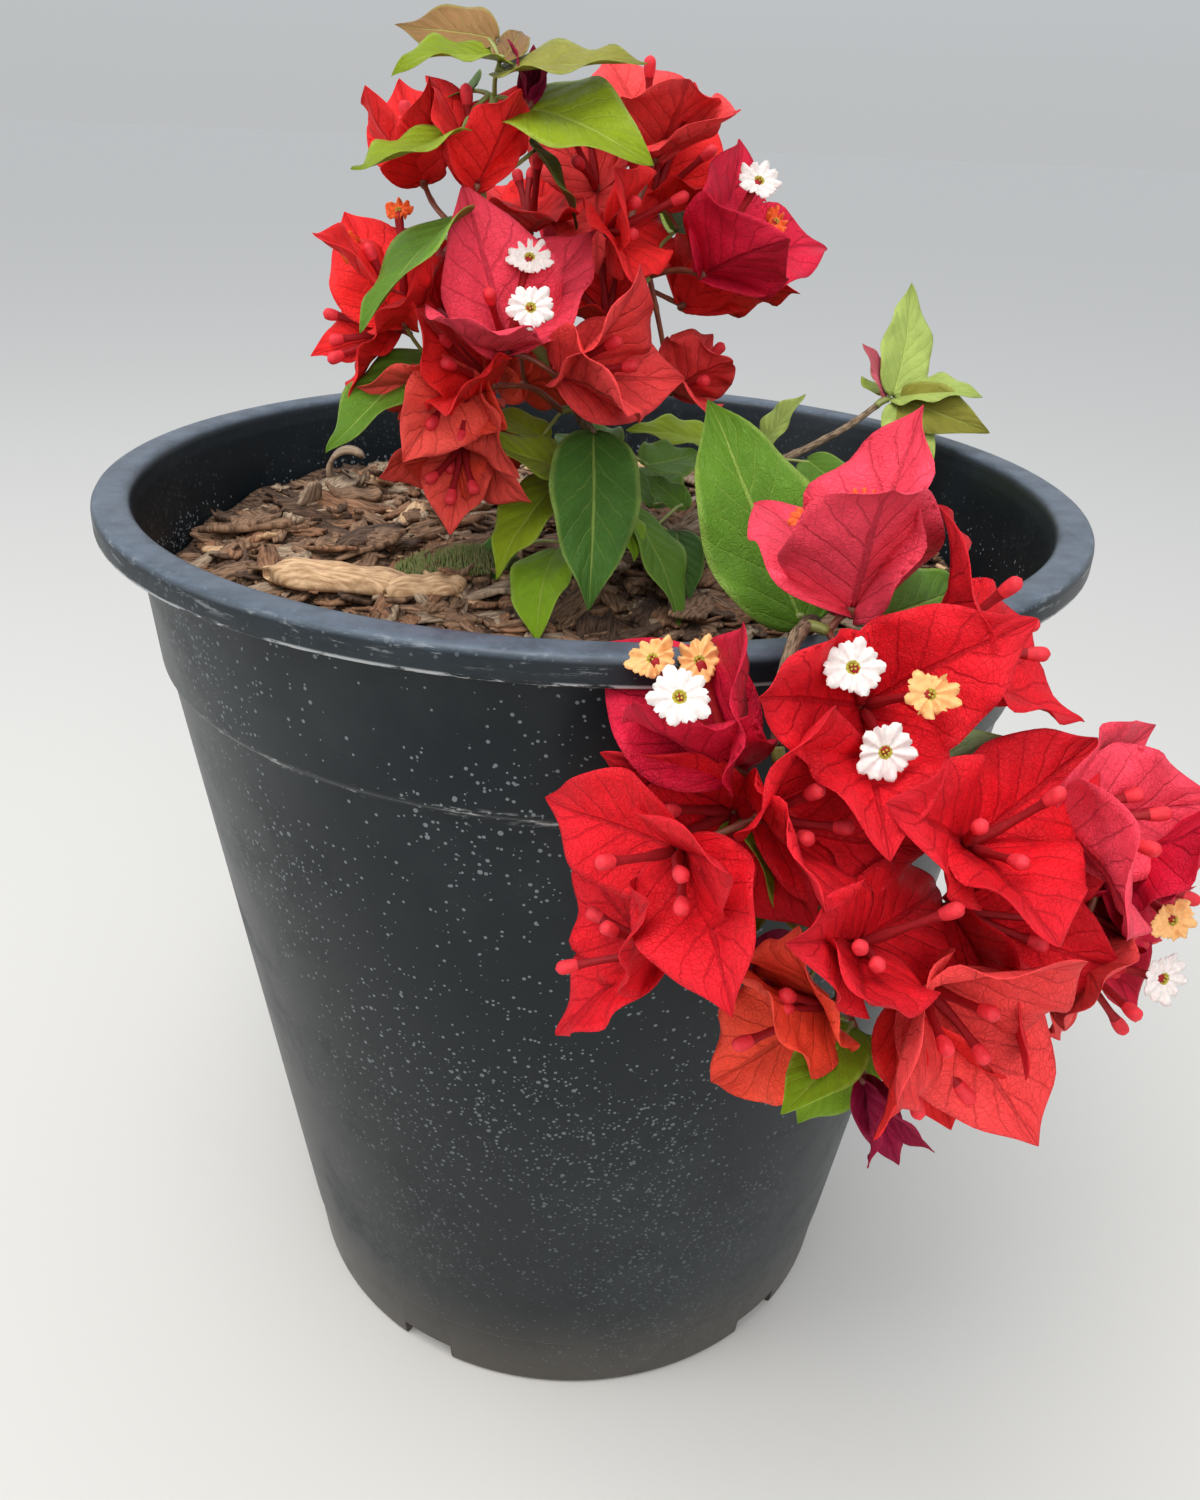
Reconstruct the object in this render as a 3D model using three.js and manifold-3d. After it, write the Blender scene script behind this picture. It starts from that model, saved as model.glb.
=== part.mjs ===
// Young bougainvillea bush in a round nursery pot, in millimetres, +Z up, -Y towards the viewer.
// The origin is the centre of the pot's flat underside.
import * as THREE from 'three';
import { mergeVertices } from 'three/addons/utils/BufferGeometryUtils.js';
import Module from 'manifold-3d';

const wasm = await Module();
wasm.setup();

// Clearance that neighbouring pieces keep.
const GAP = 0.3;

// Pot: a thin tapered shell with a stacking shoulder and a rim that turns down outside.
const POT_HEIGHT = 300;
const RIM_RADIUS = 150;
const RIM_DEPTH = 7.5;
const RIM_WIDTH = 10;
const WALL = 2;
const FOOT_RADIUS = 103;
const FOOT_LINE = 25;
const FOOT_LINE_RADIUS = 106;
const SHOULDER_Z = 250;
const SHOULDER_STEP = 1.8;
const SHOULDER_RADIUS = 134.7;
const FLOOR = 4;
const POT_SEGMENTS = 32;
const DRAINS = 5;
const DRAIN = { width: 20, depth: 16, height: 8, firstAngle: -119 };
const EDGE_ROUND = 1;
const FOOT_ROUND = 2;

// Bark mulch: fills the pot up to a sloping, heaped and lumpy surface below the rim.
const MULCH = { level: 264, slope: [-0.04, 0.065], heap: 7, spread: 75, lump: 2.2 };
const LUMPS = { across: [0.11, 0.05], along: [-0.04, 0.13] };
const MULCH_RINGS = [1, 0.84, 0.6, 0.3];
const CHIPS = 9;
const CHIP = { length: 22, width: 9, thick: 4, nearest: 34, furthest: 112, tilt: 0.3 };

// Plant: where it stands, and how thick its limbs are at foot and tip.
const FOOT = [26, 4, 272];
const PAD_RADIUS = 13;
const TRUNK = { flare: 5.2, waist: 3.4, top: 2.9, height: 9, lean: -1, flareShare: 0.34 };
const LIMB_SIDES = 5;
const TWIG_RADIUS = 1.1;
const STALK_RADIUS = 0.8;
const STALK_TIP = 0.4;
const LONG_TWIG = 16;
const TWIG_BOW = { rise: 0.12, sway: 0.1 };
const COLLAR = 5;
const KNOB = 3.2;
const ROOT = 1.6;

// Blades: leaves and bracts, thickest along the midrib, widest below the middle, drawn out at the tip.
const BLADE_STEPS = 3;
const BLADE_THICK = 1.1;
const BLADE_SHAPE = { skew: 0.62, fullness: 0.8, tipCut: 0.35, tipStart: 0.7 };
const LEAF = { ratio: 0.56, fold: 14, bend: [0.05, 0.5], sunk: 2, face: [0, -0.5, 0.8] };
const BRACT = { ratio: 0.74, fold: 20, bend: [-0.5, 0.45], facing: 0.6 };
const BLADE_ROOM = { extra: 0.7, extraSide: 2.4 };

// Flowers: a slim tube with a swollen end on each bract, and a ten-pointed face where it is open.
const TUBE = { length: 20, neck: 9, radius: 1.1, bud: 1.9, budStart: 0.6, along: 0.8, out: 0.55 };
const FACE = { radius: 6.2, notch: 0.78, depth: 2.4, sunk: 1, points: 10, facing: 0.9 };
const FACE_ROOM = { radius: 5 * GAP, depth: 3 * GAP };

// How far apart two corners of a mass can be and still be merged, before and after it is cut.
const EDGE_MERGE = 0.3;
const FINE_MERGE = 0.08;

// Leaves and bracts point by the clock in the viewer's picture plane, which tilts back by this angle,
// and lean from that plane towards the viewer.
const VIEW_TILT = THREE.MathUtils.degToRad(27);
const TOWARDS = new THREE.Vector3(0, -Math.cos(VIEW_TILT), Math.sin(VIEW_TILT));
const UPWARDS = new THREE.Vector3(0, Math.sin(VIEW_TILT), Math.cos(VIEW_TILT));
const RIGHT = new THREE.Vector3(1, 0, 0);

const COLOURS = {
  pot: ['#15181d', 0.5],
  mulch: ['#6b4a35', 0.95],
  wood: ['#7a6450', 0.85],
  green: ['#7f9a3c', 0.7],
  foliage: ['#5f8f2c', 0.6],
  young: ['#9ab83a', 0.6],
  blossom: ['#d8242c', 0.6],
};

// Limbs: centre points from foot to tip, with the radius at each end.
const LIMBS = [
  { name: 'stem_left', colour: 'wood', radii: [2.2, 1.7],
    path: [[25, 4, 280], [15, -1, 288], [8, -8, 298], [7, -13, 307], [-2, -20, 316], [-8, -28, 328]] },
  { name: 'bough_crown', colour: 'green', radii: [1.7, 1.1],
    path: [[-8, -28, 328], [-15, -31, 338], [-26, -35, 352], [-33, -37, 378], [-31, -40, 398]] },
  { name: 'bough_right', colour: 'green', radii: [1.4, 1.1],
    path: [[-8, -28, 328], [-4, -25, 337], [3, -22, 348], [9, -21, 357]] },
  { name: 'bough_back', colour: 'green', radii: [1.4, 1.0],
    path: [[-8, -28, 328], [-11, -18, 338], [-16, -8, 350]] },
  { name: 'stem_right', colour: 'wood', radii: [1.9, 1.4],
    path: [[25, 4, 280], [33, -6, 282], [44, -48, 285], [51, -94, 286], [50, -118, 297], [45, -136, 303.5],
      [40, -149, 304], [37, -157, 297], [37, -160, 286]] },
  { name: 'bough_front', colour: 'green', radii: [1.4, 1.1],
    path: [[37, -160, 286], [40, -163, 274], [45, -165, 262], [50, -169, 248], [54, -173, 236]] },
  { name: 'bough_side', colour: 'green', radii: [1.3, 1.0],
    path: [[40, -163, 274], [50, -160, 272], [62, -158, 270]] },
  { name: 'stem_back', colour: 'wood', radii: [1.6, 1.1],
    path: [[25, 4, 280], [36, 18, 284], [58, 40, 293], [75, 52, 298], [92, 62, 305], [102, 68, 311]] },
];

// Masses of foliage and blossom, each on its limb, at that share of the limb's length. A head is its
// centre, its three bracts as [clock, lean], their length, and a letter for each flower: b bud, w open,
// o ageing open, n none. A head marked behind faces the far side, where its directions are mirrored.
// A leaf is where its blade starts, its [clock, lean], its length and its roll.
const MASSES = [
  { name: 'crown_tip', limb: 'bough_crown', at: 1, colour: 'young', heads: [], leaves: [
    [[-28, -45, 410], [8.25, 30], 30, 10], [[-31, -40, 415], [9.5, -20], 26, -20],
    [[-27, -44, 411], [0.5, -35], 16, 0], [[-27, -45, 408], [3.25, 25], 38, -10],
    [[-22, -42, 400], [4.25, 30], 46, 10], [[-22, -30, 401], [2.5, -60], 34, 15],
    [[-36, -32, 404], [9.5, -65], 32, -15], [[-38, -42, 394], [7.5, 35], 38, 20]] },
  { name: 'crown_left', limb: 'bough_crown', at: 0.74, colour: 'blossom', heads: [
    [[-54, -38, 348], [[10, 55], [11, -5], [2.5, 70]], 36, 'ono'],
    [[-50, -22, 382], [[10.25, 60], [11.5, -15], [0.75, 65]], 32, 'bnn']], leaves: [
    [[-37, -50, 375], [7, 20], 44, 35],
    [[-48, -34, 338], [7.25, 20], 42, 15]] },
  { name: 'crown_middle', limb: 'bough_crown', at: 0.5, colour: 'blossom', heads: [
    [[-25, -52, 344], [[11.5, 50], [1, -5], [8.25, 70]], 40, 'wwn'],
    [[-34, -42, 382], [[11.75, -20], [0.5, -25], [3.25, 60]], 33, 'bnn'],
    [[-12, -50, 338], [[1.75, 45], [2.75, -20], [4.5, 50]], 38, 'bnn']], leaves: [
    [[-20, -30, 391], [4.25, -55], 28, 0]] },
  { name: 'crown_back', limb: 'bough_back', at: 1, colour: 'blossom', heads: [
    [[-22, -10, 370], [[0.25, -35], [11, -35], [4.5, 70]], 34, 'bnn'],
    [[-48, 8, 344], [[10, 55], [11, -5], [2.5, 70]], 36, 'bnn', 'behind'],
    [[-10, 18, 356], [[11.5, 50], [1, -5], [8.25, 60]], 38, 'bwn', 'behind'],
    [[24, 8, 350], [[0.5, 15], [3.5, 65], [2.25, -15]], 38, 'bnn', 'behind'],
    [[-24, 14, 324], [[9, 40], [6.5, 50], [3, 20]], 32, 'bnn', 'behind']], leaves: [
    [[-36, 8, 366], [9.5, -50], 40, 10], [[8, 16, 368], [1.5, -50], 38, 10],
    [[-34, 20, 336], [8, -40], 38, -10]] },
  { name: 'crown_right', limb: 'bough_right', at: 1, colour: 'blossom', heads: [
    [[0, -28, 372], [[3, 85], [5.5, 45], [1.5, -45]], 34, 'bnn'],
    [[12, -14, 390], [[11.25, -15], [2.25, 80], [3.25, 55]], 36, 'bnn'],
    [[26, -34, 363], [[0.5, -5], [3.5, 65], [2.25, -15]], 40, 'wno'],
    [[21, -12, 328], [[1, -30], [2.75, 60], [4.75, 60]], 30, 'bnn']], leaves: [
    [[20, -6, 372], [1.5, -50], 36, 10]] },
  { name: 'crown_low', limb: 'stem_left', at: 0.93, colour: 'blossom', heads: [
    [[-30, -40, 333], [[10, 55], [11, -35], [7.25, 60]], 34, 'bnn'],
    [[-34, -26, 327], [[8, 50], [10.25, -45], [5.25, 60]], 34, 'bnn'],
    [[-41, -20, 317], [[7, 45], [5.75, 35], [3.75, -55]], 30, 'bnn']], leaves: [
    [[-17, -25, 316], [10, -25], 22, 10]] },
  { name: 'skirt', limb: 'stem_left', at: 0.74, colour: 'foliage', heads: [], leaves: [
    [[-2, -40, 319], [6, 10], 50, -8], [[-9, -30, 308], [9.25, 35], 32, 0],
    [[-12, -25, 303], [7, 25], 38, 15], [[5, -25, 295], [5.25, 35], 22, -30],
    [[11, -22, 293], [5.25, 20], 40, -35]] },
  { name: 'skirt_back', limb: 'stem_left', at: 0.5, colour: 'foliage', heads: [], leaves: [
    [[4, 4, 306], [10, -55], 36, 0], [[16, 4, 302], [2, -50], 32, 10]] },
  { name: 'basal', limb: 'stem_left', at: 0.22, colour: 'foliage', heads: [], leaves: [
    [[-12, -32, 283], [6.25, 40], 38, 20], [[-26, -12, 279], [7.5, -10], 30, 10],
    [[26, -10, 283], [5.75, 35], 28, -10], [[29, 12, 287], [10.5, -30], 20, 0],
    [[20, 22, 284], [0.5, -50], 34, 5]] },
  { name: 'large_leaf', limb: 'stem_right', at: 0.56, colour: 'foliage', heads: [], leaves: [
    [[51, -96, 290], [11.25, -5], 63, -10]] },
  { name: 'rim_heads', limb: 'stem_right', at: 0.82, colour: 'blossom', heads: [
    [[54, -137, 307], [[0.5, 15], [11.75, 60], [11, -35]], 43, 'ono'],
    [[54, -157, 294], [[9, 45], [6, 45], [1.25, 70]], 38, 'wow'],
    [[70, -146, 302], [[11.5, 45], [3.5, -5], [2.5, -35]], 36, 'nbn']], leaves: [
    [[62, -134, 305], [2.25, -40], 34, 20]] },
  { name: 'front_heads', limb: 'bough_front', at: 0.12, colour: 'blossom', heads: [
    [[29, -158, 279], [[10.5, -15], [9.75, 50], [11.75, 45]], 38, 'woo'],
    [[34, -166, 272], [[0.5, 50], [5.25, 65], [3.25, -5]], 38, 'nbn'],
    [[18, -170, 266], [[9.5, -30], [3, 80], [5.5, 40]], 36, 'bnn'],
    [[17, -167, 238], [[7.5, -25], [10.5, -40], [11, 60]], 34, 'bnn']], leaves: [
    [[31, -155, 262], [5.75, -10], 28, 0]] },
  { name: 'low_heads', limb: 'bough_front', at: 1, colour: 'blossom', heads: [
    [[52, -174, 230], [[10.75, 50], [7.5, -30], [9.75, 55]], 36, 'bnn'],
    [[53, -184, 254], [[9.5, 60], [2.25, -40], [7.25, 75]], 34, 'bnn'],
    [[70, -178, 240], [[2, 55], [4.75, 0], [7.5, 55]], 40, 'bnn'],
    [[37, -162, 228], [[11.25, 50], [2, -40], [10, 75]], 22, 'nnn'],
    [[62, -176, 210], [[7.75, 65], [5.25, -30], [9, 60]], 20, 'nnn']], leaves: [
    [[51, -165, 238], [10.75, 20], 38, 20], [[56, -178, 226], [7.75, 40], 28, 15],
    [[54, -170, 224], [7, -25], 27, 0], [[65, -168, 214], [7, -30], 30, -15]] },
  { name: 'side_heads', limb: 'bough_side', at: 1, colour: 'blossom', heads: [
    [[77, -168, 268], [[9.75, 50], [1.75, -15], [5.25, 65]], 38, 'nbn'],
    [[98, -160, 270], [[1.75, -20], [2.75, -10], [5.75, 60]], 38, 'bnn'],
    [[115, -152, 256], [[1.5, 60], [3.75, -30], [4.75, -30]], 34, 'onn'],
    [[110, -158, 234], [[3, -35], [5.25, -40], [8.75, 75]], 32, 'wnn']], leaves: [
    [[74, -152, 280], [3.5, -10], 32, 20], [[92, -146, 262], [1.5, -60], 34, 10]] },
  { name: 'back_leaves', limb: 'stem_back', at: 0.45, colour: 'foliage', heads: [], leaves: [
    [[44, 58, 296], [9, 25], 38, 10], [[62, 60, 298], [1.25, 45], 24, 0],
    [[75, 40, 296], [4.75, 35], 30, 10], [[52, 24, 298], [1, -70], 34, 0]] },
  { name: 'back_shoot', limb: 'stem_back', at: 1, colour: 'young', heads: [], leaves: [
    [[108, 70, 317], [0.25, -5], 40, 20], [[110, 70, 314], [3.25, 40], 32, 0],
    [[111, 68, 313], [4, 30], 36, 30], [[110, 66, 311], [5.5, 15], 34, 15],
    [[105, 71, 316], [10.75, 30], 20, 0], [[104, 74, 314], [0.5, -65], 30, 0]] },
];

const vector = ([x, y, z]) => new THREE.Vector3(x, y, z);

function random(seed) {
  const value = Math.sin(seed * 12.9898) * 43758.5453;
  return value - Math.floor(value);
}

function between(seed, low, high) {
  return low + (high - low) * random(seed);
}

function asSolid(geometry) {
  const plain = geometry.clone();
  plain.deleteAttribute('normal');
  plain.deleteAttribute('uv');
  const merged = mergeVertices(plain, 1e-4);
  const corners = merged.index.array;
  const faces = [];
  for (let i = 0; i < corners.length; i += 3) {
    const [a, b, c] = [corners[i], corners[i + 1], corners[i + 2]];
    if (a !== b && b !== c && c !== a) faces.push(a, b, c);
  }
  return new wasm.Manifold(new wasm.Mesh({
    numProp: 3,
    vertProperties: new Float32Array(merged.attributes.position.array),
    triVerts: new Uint32Array(faces),
  }));
}

function asGeometry(solid) {
  const mesh = solid.getMesh();
  const geometry = new THREE.BufferGeometry();
  geometry.setAttribute('position', new THREE.BufferAttribute(mesh.vertProperties, 3));
  geometry.setIndex(new THREE.BufferAttribute(mesh.triVerts, 1));
  geometry.computeVertexNormals();
  return geometry;
}

function joined(solids) {
  return solids.reduce((whole, solid) => whole.add(solid));
}

function largestPiece(solid) {
  return solid.decompose().reduce((best, piece) => (piece.volume() > best.volume() ? piece : best));
}

// A round body of the given profile, made in lathe coordinates and stood up on Z.
function turned(profile, segments) {
  const points = profile.map(([radius, height]) => new THREE.Vector2(radius, height));
  return new THREE.LatheGeometry(points, segments).rotateX(Math.PI / 2);
}

// A tapering limb: a cylinder whose rings are carried along a smooth curve.
function limb(points, radiusAt, sides, steps) {
  const curve = new THREE.CatmullRomCurve3(points, false, 'centripetal');
  const frames = curve.computeFrenetFrames(steps, false);
  const geometry = new THREE.CylinderGeometry(1, 1, 1, sides, steps);
  const position = geometry.attributes.position;
  for (let i = 0; i < position.count; i += 1) {
    const step = Math.round((position.getY(i) + 0.5) * steps);
    const radius = radiusAt(step / steps);
    const point = curve.getPointAt(step / steps)
      .addScaledVector(frames.normals[step], position.getX(i) * radius)
      .addScaledVector(frames.binormals[step], -position.getZ(i) * radius);
    position.setXYZ(i, point.x, point.y, point.z);
  }
  return geometry;
}

function taper(first, last) {
  return (t) => first + (last - first) * t;
}

// The direction that a clock angle and a lean name, mirrored for what faces the back.
function direction([clock, lean], behind) {
  const angle = THREE.MathUtils.degToRad(clock * 30);
  const rise = THREE.MathUtils.degToRad(lean);
  const flat = RIGHT.clone().multiplyScalar(Math.sin(angle)).addScaledVector(UPWARDS, Math.cos(angle));
  const result = flat.multiplyScalar(Math.cos(rise)).addScaledVector(TOWARDS, Math.sin(rise));
  if (behind) result.y = -result.y;
  return result;
}

// Half width of a blade along its length: full near the base, drawn out to a point at the tip.
function outline(u) {
  const { skew, fullness, tipCut, tipStart } = BLADE_SHAPE;
  const body = Math.sin(Math.PI * u ** skew) ** fullness;
  return body * (1 - tipCut * THREE.MathUtils.smoothstep(u, tipStart, 1));
}

// A leaf or bract: a ball with four sides, drawn out into a folded and bent blade with a pointed tip.
// Its room is the same blade, longer, wider and thicker by the extra values.
function blade({ base, along, face, length, ratio, fold, bend, extra = 0, extraSide = 0 }) {
  const axis = along.clone().normalize();
  const normal = face.clone().addScaledVector(axis, -face.dot(axis)).normalize();
  const side = new THREE.Vector3().crossVectors(axis, normal);
  const start = axis.clone().applyAxisAngle(side, bend / 2);
  const startNormal = normal.clone().applyAxisAngle(side, bend / 2);
  const creaseAngle = THREE.MathUtils.degToRad(fold);
  const geometry = new THREE.SphereGeometry(1, 4, BLADE_STEPS);
  const position = geometry.attributes.position;
  for (let i = 0; i < position.count; i += 1) {
    const u = Math.acos(THREE.MathUtils.clamp(position.getY(i), -1, 1)) / Math.PI;
    const isEnd = u < 0.001 || u > 0.999;
    const girth = isEnd ? 1 : Math.sqrt(1 - position.getY(i) ** 2);
    const across = position.getX(i) / girth;
    const lift = -position.getZ(i) / girth;
    const up = startNormal.clone().applyAxisAngle(side, -bend * u);
    const reach = Math.sin(bend * u) / bend;
    const drop = (1 - Math.cos(bend * u)) / bend;
    const half = isEnd ? 0 : (length * ratio / 2) * outline(u) + extraSide;
    const thick = isEnd ? 0 : BLADE_THICK / 2 + extra;
    const point = base.clone()
      .addScaledVector(start, (length + 2 * extra) * reach - extra)
      .addScaledVector(startNormal, -length * drop)
      .addScaledVector(side, across * half * Math.cos(creaseAngle))
      .addScaledVector(up, Math.abs(across) * half * Math.sin(creaseAngle) + lift * thick);
    position.setXYZ(i, point.x, point.y, point.z);
  }
  return geometry;
}

// An open flower's face: a shallow cone that opens from the tube into ten points.
function flowerFace(centre, facing, turn, radius, depth) {
  const geometry = new THREE.ConeGeometry(1, depth, FACE.points)
    .rotateX(Math.PI).translate(0, FACE.depth / 2 - FACE.sunk, 0);
  const position = geometry.attributes.position;
  for (let i = 0; i < position.count; i += 1) {
    const angle = Math.atan2(position.getZ(i), position.getX(i));
    const count = Math.round((angle - Math.PI / 2) / (2 * Math.PI / FACE.points));
    const reach = Math.hypot(position.getX(i), position.getZ(i)) * radius;
    const scale = Math.abs(count) % 2 === 1 ? FACE.notch : 1;
    position.setX(i, Math.cos(angle + turn) * reach * scale);
    position.setZ(i, Math.sin(angle + turn) * reach * scale);
  }
  const tilt = new THREE.Quaternion().setFromUnitVectors(new THREE.Vector3(0, 1, 0), facing);
  return geometry.applyQuaternion(tilt).translate(centre.x, centre.y, centre.z);
}

// The height of the mulch: sloping, heaped in the middle, level round the plant's foot.
function mulchHeight(x, y) {
  const heap = MULCH.heap * Math.exp(-(x * x + y * y) / MULCH.spread ** 2);
  const lump = MULCH.lump * Math.sin(LUMPS.across[0] * x + LUMPS.across[1] * y)
    * Math.cos(LUMPS.along[0] * x + LUMPS.along[1] * y);
  const open = MULCH.level + MULCH.slope[0] * x + MULCH.slope[1] * y + heap + lump;
  const away = Math.hypot(x - FOOT[0], y - FOOT[1]);
  const blend = THREE.MathUtils.smoothstep(away, PAD_RADIUS, 2.5 * PAD_RADIUS);
  return (FOOT[2] - GAP) * (1 - blend) + open * blend;
}

// The radius of the pot's inside at a height.
function innerRadius(z) {
  if (z > SHOULDER_Z) {
    const low = SHOULDER_RADIUS + SHOULDER_STEP - WALL;
    const t = (z - SHOULDER_Z) / (POT_HEIGHT - WALL - SHOULDER_Z);
    return low + t * (RIM_RADIUS - RIM_WIDTH - WALL - low);
  }
  const t = (z - FOOT_LINE) / (SHOULDER_Z - FOOT_LINE);
  return FOOT_LINE_RADIUS - WALL + t * (SHOULDER_RADIUS - FOOT_LINE_RADIUS);
}

function makePot() {
  const neck = RIM_RADIUS - RIM_WIDTH;
  const lipBottom = POT_HEIGHT - RIM_DEPTH;
  const shell = asSolid(turned([
    [0, 0], [FOOT_RADIUS - FOOT_ROUND, 0], [FOOT_RADIUS, FOOT_ROUND], [FOOT_LINE_RADIUS, FOOT_LINE],
    [SHOULDER_RADIUS, SHOULDER_Z], [SHOULDER_RADIUS + SHOULDER_STEP, SHOULDER_Z + SHOULDER_STEP],
    [neck, POT_HEIGHT - WALL], [RIM_RADIUS - WALL, POT_HEIGHT - WALL], [RIM_RADIUS - WALL, lipBottom],
    [RIM_RADIUS, lipBottom], [RIM_RADIUS, POT_HEIGHT - EDGE_ROUND],
    [RIM_RADIUS - EDGE_ROUND, POT_HEIGHT], [neck + EDGE_ROUND, POT_HEIGHT],
    [neck - WALL, POT_HEIGHT - WALL], [innerRadius(SHOULDER_Z + WALL), SHOULDER_Z + WALL],
    [innerRadius(SHOULDER_Z), SHOULDER_Z], [innerRadius(FOOT_LINE), FOOT_LINE],
    [innerRadius(FLOOR), FLOOR], [0, FLOOR],
  ], POT_SEGMENTS));
  const drains = Array.from({ length: DRAINS }, (_, k) => {
    const angle = THREE.MathUtils.degToRad(DRAIN.firstAngle + (360 / DRAINS) * k);
    return asSolid(new THREE.BoxGeometry(DRAIN.depth, DRAIN.width, 2 * DRAIN.height)
      .translate(FOOT_RADIUS, 0, 0).rotateZ(angle));
  });
  return shell.subtract(joined(drains));
}

// The mulch's body, and on it a few large chips of bark that lie partly sunk.
function makeMulch() {
  const bottom = FLOOR + GAP;
  const wall = (z) => innerRadius(z) - GAP;
  const top = MULCH_RINGS.map((share) => [share * wall(MULCH.level), MULCH.level]);
  const geometry = turned([
    [0, bottom], [wall(bottom), bottom], [wall(FOOT_LINE), FOOT_LINE],
    [wall(SHOULDER_Z), SHOULDER_Z], ...top, [0, MULCH.level],
  ], POT_SEGMENTS);
  const position = geometry.attributes.position;
  for (let i = 0; i < position.count; i += 1) {
    if (position.getZ(i) < MULCH.level - GAP) continue;
    const [x, y] = [position.getX(i), position.getY(i)];
    const height = mulchHeight(x, y);
    const onWall = Math.hypot(x, y) > wall(MULCH.level) - GAP;
    const scale = onWall ? wall(height) / wall(MULCH.level) : 1;
    position.setXYZ(i, x * scale, y * scale, height);
  }
  const chips = Array.from({ length: CHIPS }, (_, k) => {
    const angle = between(k + 1, 0, 2 * Math.PI);
    const away = between(k + 51, CHIP.nearest, CHIP.furthest);
    const [x, y] = [away * Math.cos(angle), away * Math.sin(angle)];
    const size = between(k + 101, 0.7, 1.6);
    return asSolid(new THREE.BoxGeometry(CHIP.length * size, CHIP.width * size, CHIP.thick)
      .rotateX(between(k + 151, -CHIP.tilt, CHIP.tilt)).rotateZ(between(k + 201, 0, Math.PI))
      .translate(x, y, mulchHeight(x, y)));
  });
  return asSolid(geometry).add(joined(chips));
}

// The short trunk: cut flat on the mulch, flared at the root, leaning a little, up to the fork.
function makeTrunk() {
  const { flare, waist, top, height, lean, flareShare } = TRUNK;
  const path = [0, 0.33, 0.67, 1].map((t) => (
    [FOOT[0] + lean * t, FOOT[1], FOOT[2] + height * t]));
  const radiusAt = (t) => (t < flareShare
    ? flare + (waist - flare) * Math.sqrt(t / flareShare)
    : waist + (top - waist) * (t - flareShare) / (1 - flareShare));
  return { path: path.map(vector), radiusAt, sides: 10, steps: 6 };
}

// One limb as its own solid, and the thicker and longer copy that keeps its neighbours clear of it.
function makeLimb({ path, radiusAt, sides, steps }) {
  const [first, second] = path;
  const [last, nextToLast] = [path[path.length - 1], path[path.length - 2]];
  const longer = [
    first.clone().add(first.clone().sub(second).setLength(GAP)),
    ...path.slice(1, -1),
    last.clone().add(last.clone().sub(nextToLast).setLength(GAP)),
  ];
  return {
    solid: asSolid(limb(path, radiusAt, sides, steps)),
    room: asSolid(limb(longer, (t) => radiusAt(t) + 2 * GAP, sides, steps)),
  };
}

// Grows a twig from the nearest point of the wood so far, and adds its own points to that wood.
// It ends in a point inside a leaf, or in the knob that carries a head.
function growTwig({ twigs, wood }, target, radius, seed, knob = false) {
  const start = wood.reduce((best, point) => (
    point.distanceTo(target) < best.distanceTo(target) ? point : best));
  const reach = start.distanceTo(target);
  const middle = start.clone().lerp(target, 0.5);
  middle.z += TWIG_BOW.rise * reach * between(seed, 0.2, 1);
  middle.x += TWIG_BOW.sway * reach * between(seed + 0.5, -1, 1);
  const end = target.clone().add(target.clone().sub(middle).setLength(knob ? KNOB / 2 : 0));
  const points = [start.clone(), middle, end];
  const curve = new THREE.CatmullRomCurve3(points);
  for (let k = 1; k <= 6; k += 1) wood.push(curve.getPoint(k / 6));
  const steps = knob ? 3 : 1 + Math.floor(reach / LONG_TWIG);
  const radiusAt = (t) => (knob && t > 0.5 ? KNOB : taper(radius, knob ? radius : STALK_TIP)(t));
  twigs.push([0, 2 * GAP].map((more) => limb(points, (t) => radiusAt(t) + more, 3, steps)));
}

// Three bracts round a knob, each with its flower standing on its inner face.
function growHead(grown, [place, bracts, length, flowers, side], seed) {
  const centre = vector(place);
  const behind = side === 'behind';
  growTwig(grown, centre, TWIG_RADIUS, seed, true);
  const ways = bracts.map((bract) => direction(bract, behind));
  const axis = ways.reduce((sum, way) => sum.add(way), new THREE.Vector3())
    .addScaledVector(direction([0, 90], behind), BRACT.facing).normalize();
  ways.forEach((way, k) => {
    const shape = {
      base: centre.clone().addScaledVector(way, ROOT),
      along: way,
      face: axis,
      length: length * between(seed + k * 3, 0.97, 1.03),
      ratio: BRACT.ratio,
      fold: BRACT.fold,
      bend: between(seed + k * 5, ...BRACT.bend),
    };
    grown.blades.push([blade(shape), blade({ ...shape, ...BLADE_ROOM })]);
    if (flowers[k] === 'n') return;
    const out = way.clone().multiplyScalar(TUBE.along).addScaledVector(axis, TUBE.out).normalize();
    const tube = [ROOT, TUBE.neck, TUBE.length].map((away) => centre.clone().addScaledVector(out, away));
    const radiusAt = (t) => (t < TUBE.budStart ? TUBE.radius : TUBE.bud);
    grown.blades.push([0, 2 * GAP].map((more) => limb(tube, (t) => radiusAt(t) + more, 3, 2)));
    if (flowers[k] === 'b') return;
    const facing = out.clone().addScaledVector(direction([0, 90], behind), FACE.facing).normalize();
    const turn = between(seed + k, 0, 1);
    grown.blades.push([
      flowerFace(tube[2], facing, turn, FACE.radius, FACE.depth),
      flowerFace(tube[2], facing, turn, FACE.radius + FACE_ROOM.radius, FACE.depth + FACE_ROOM.depth),
    ]);
  });
}

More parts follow.
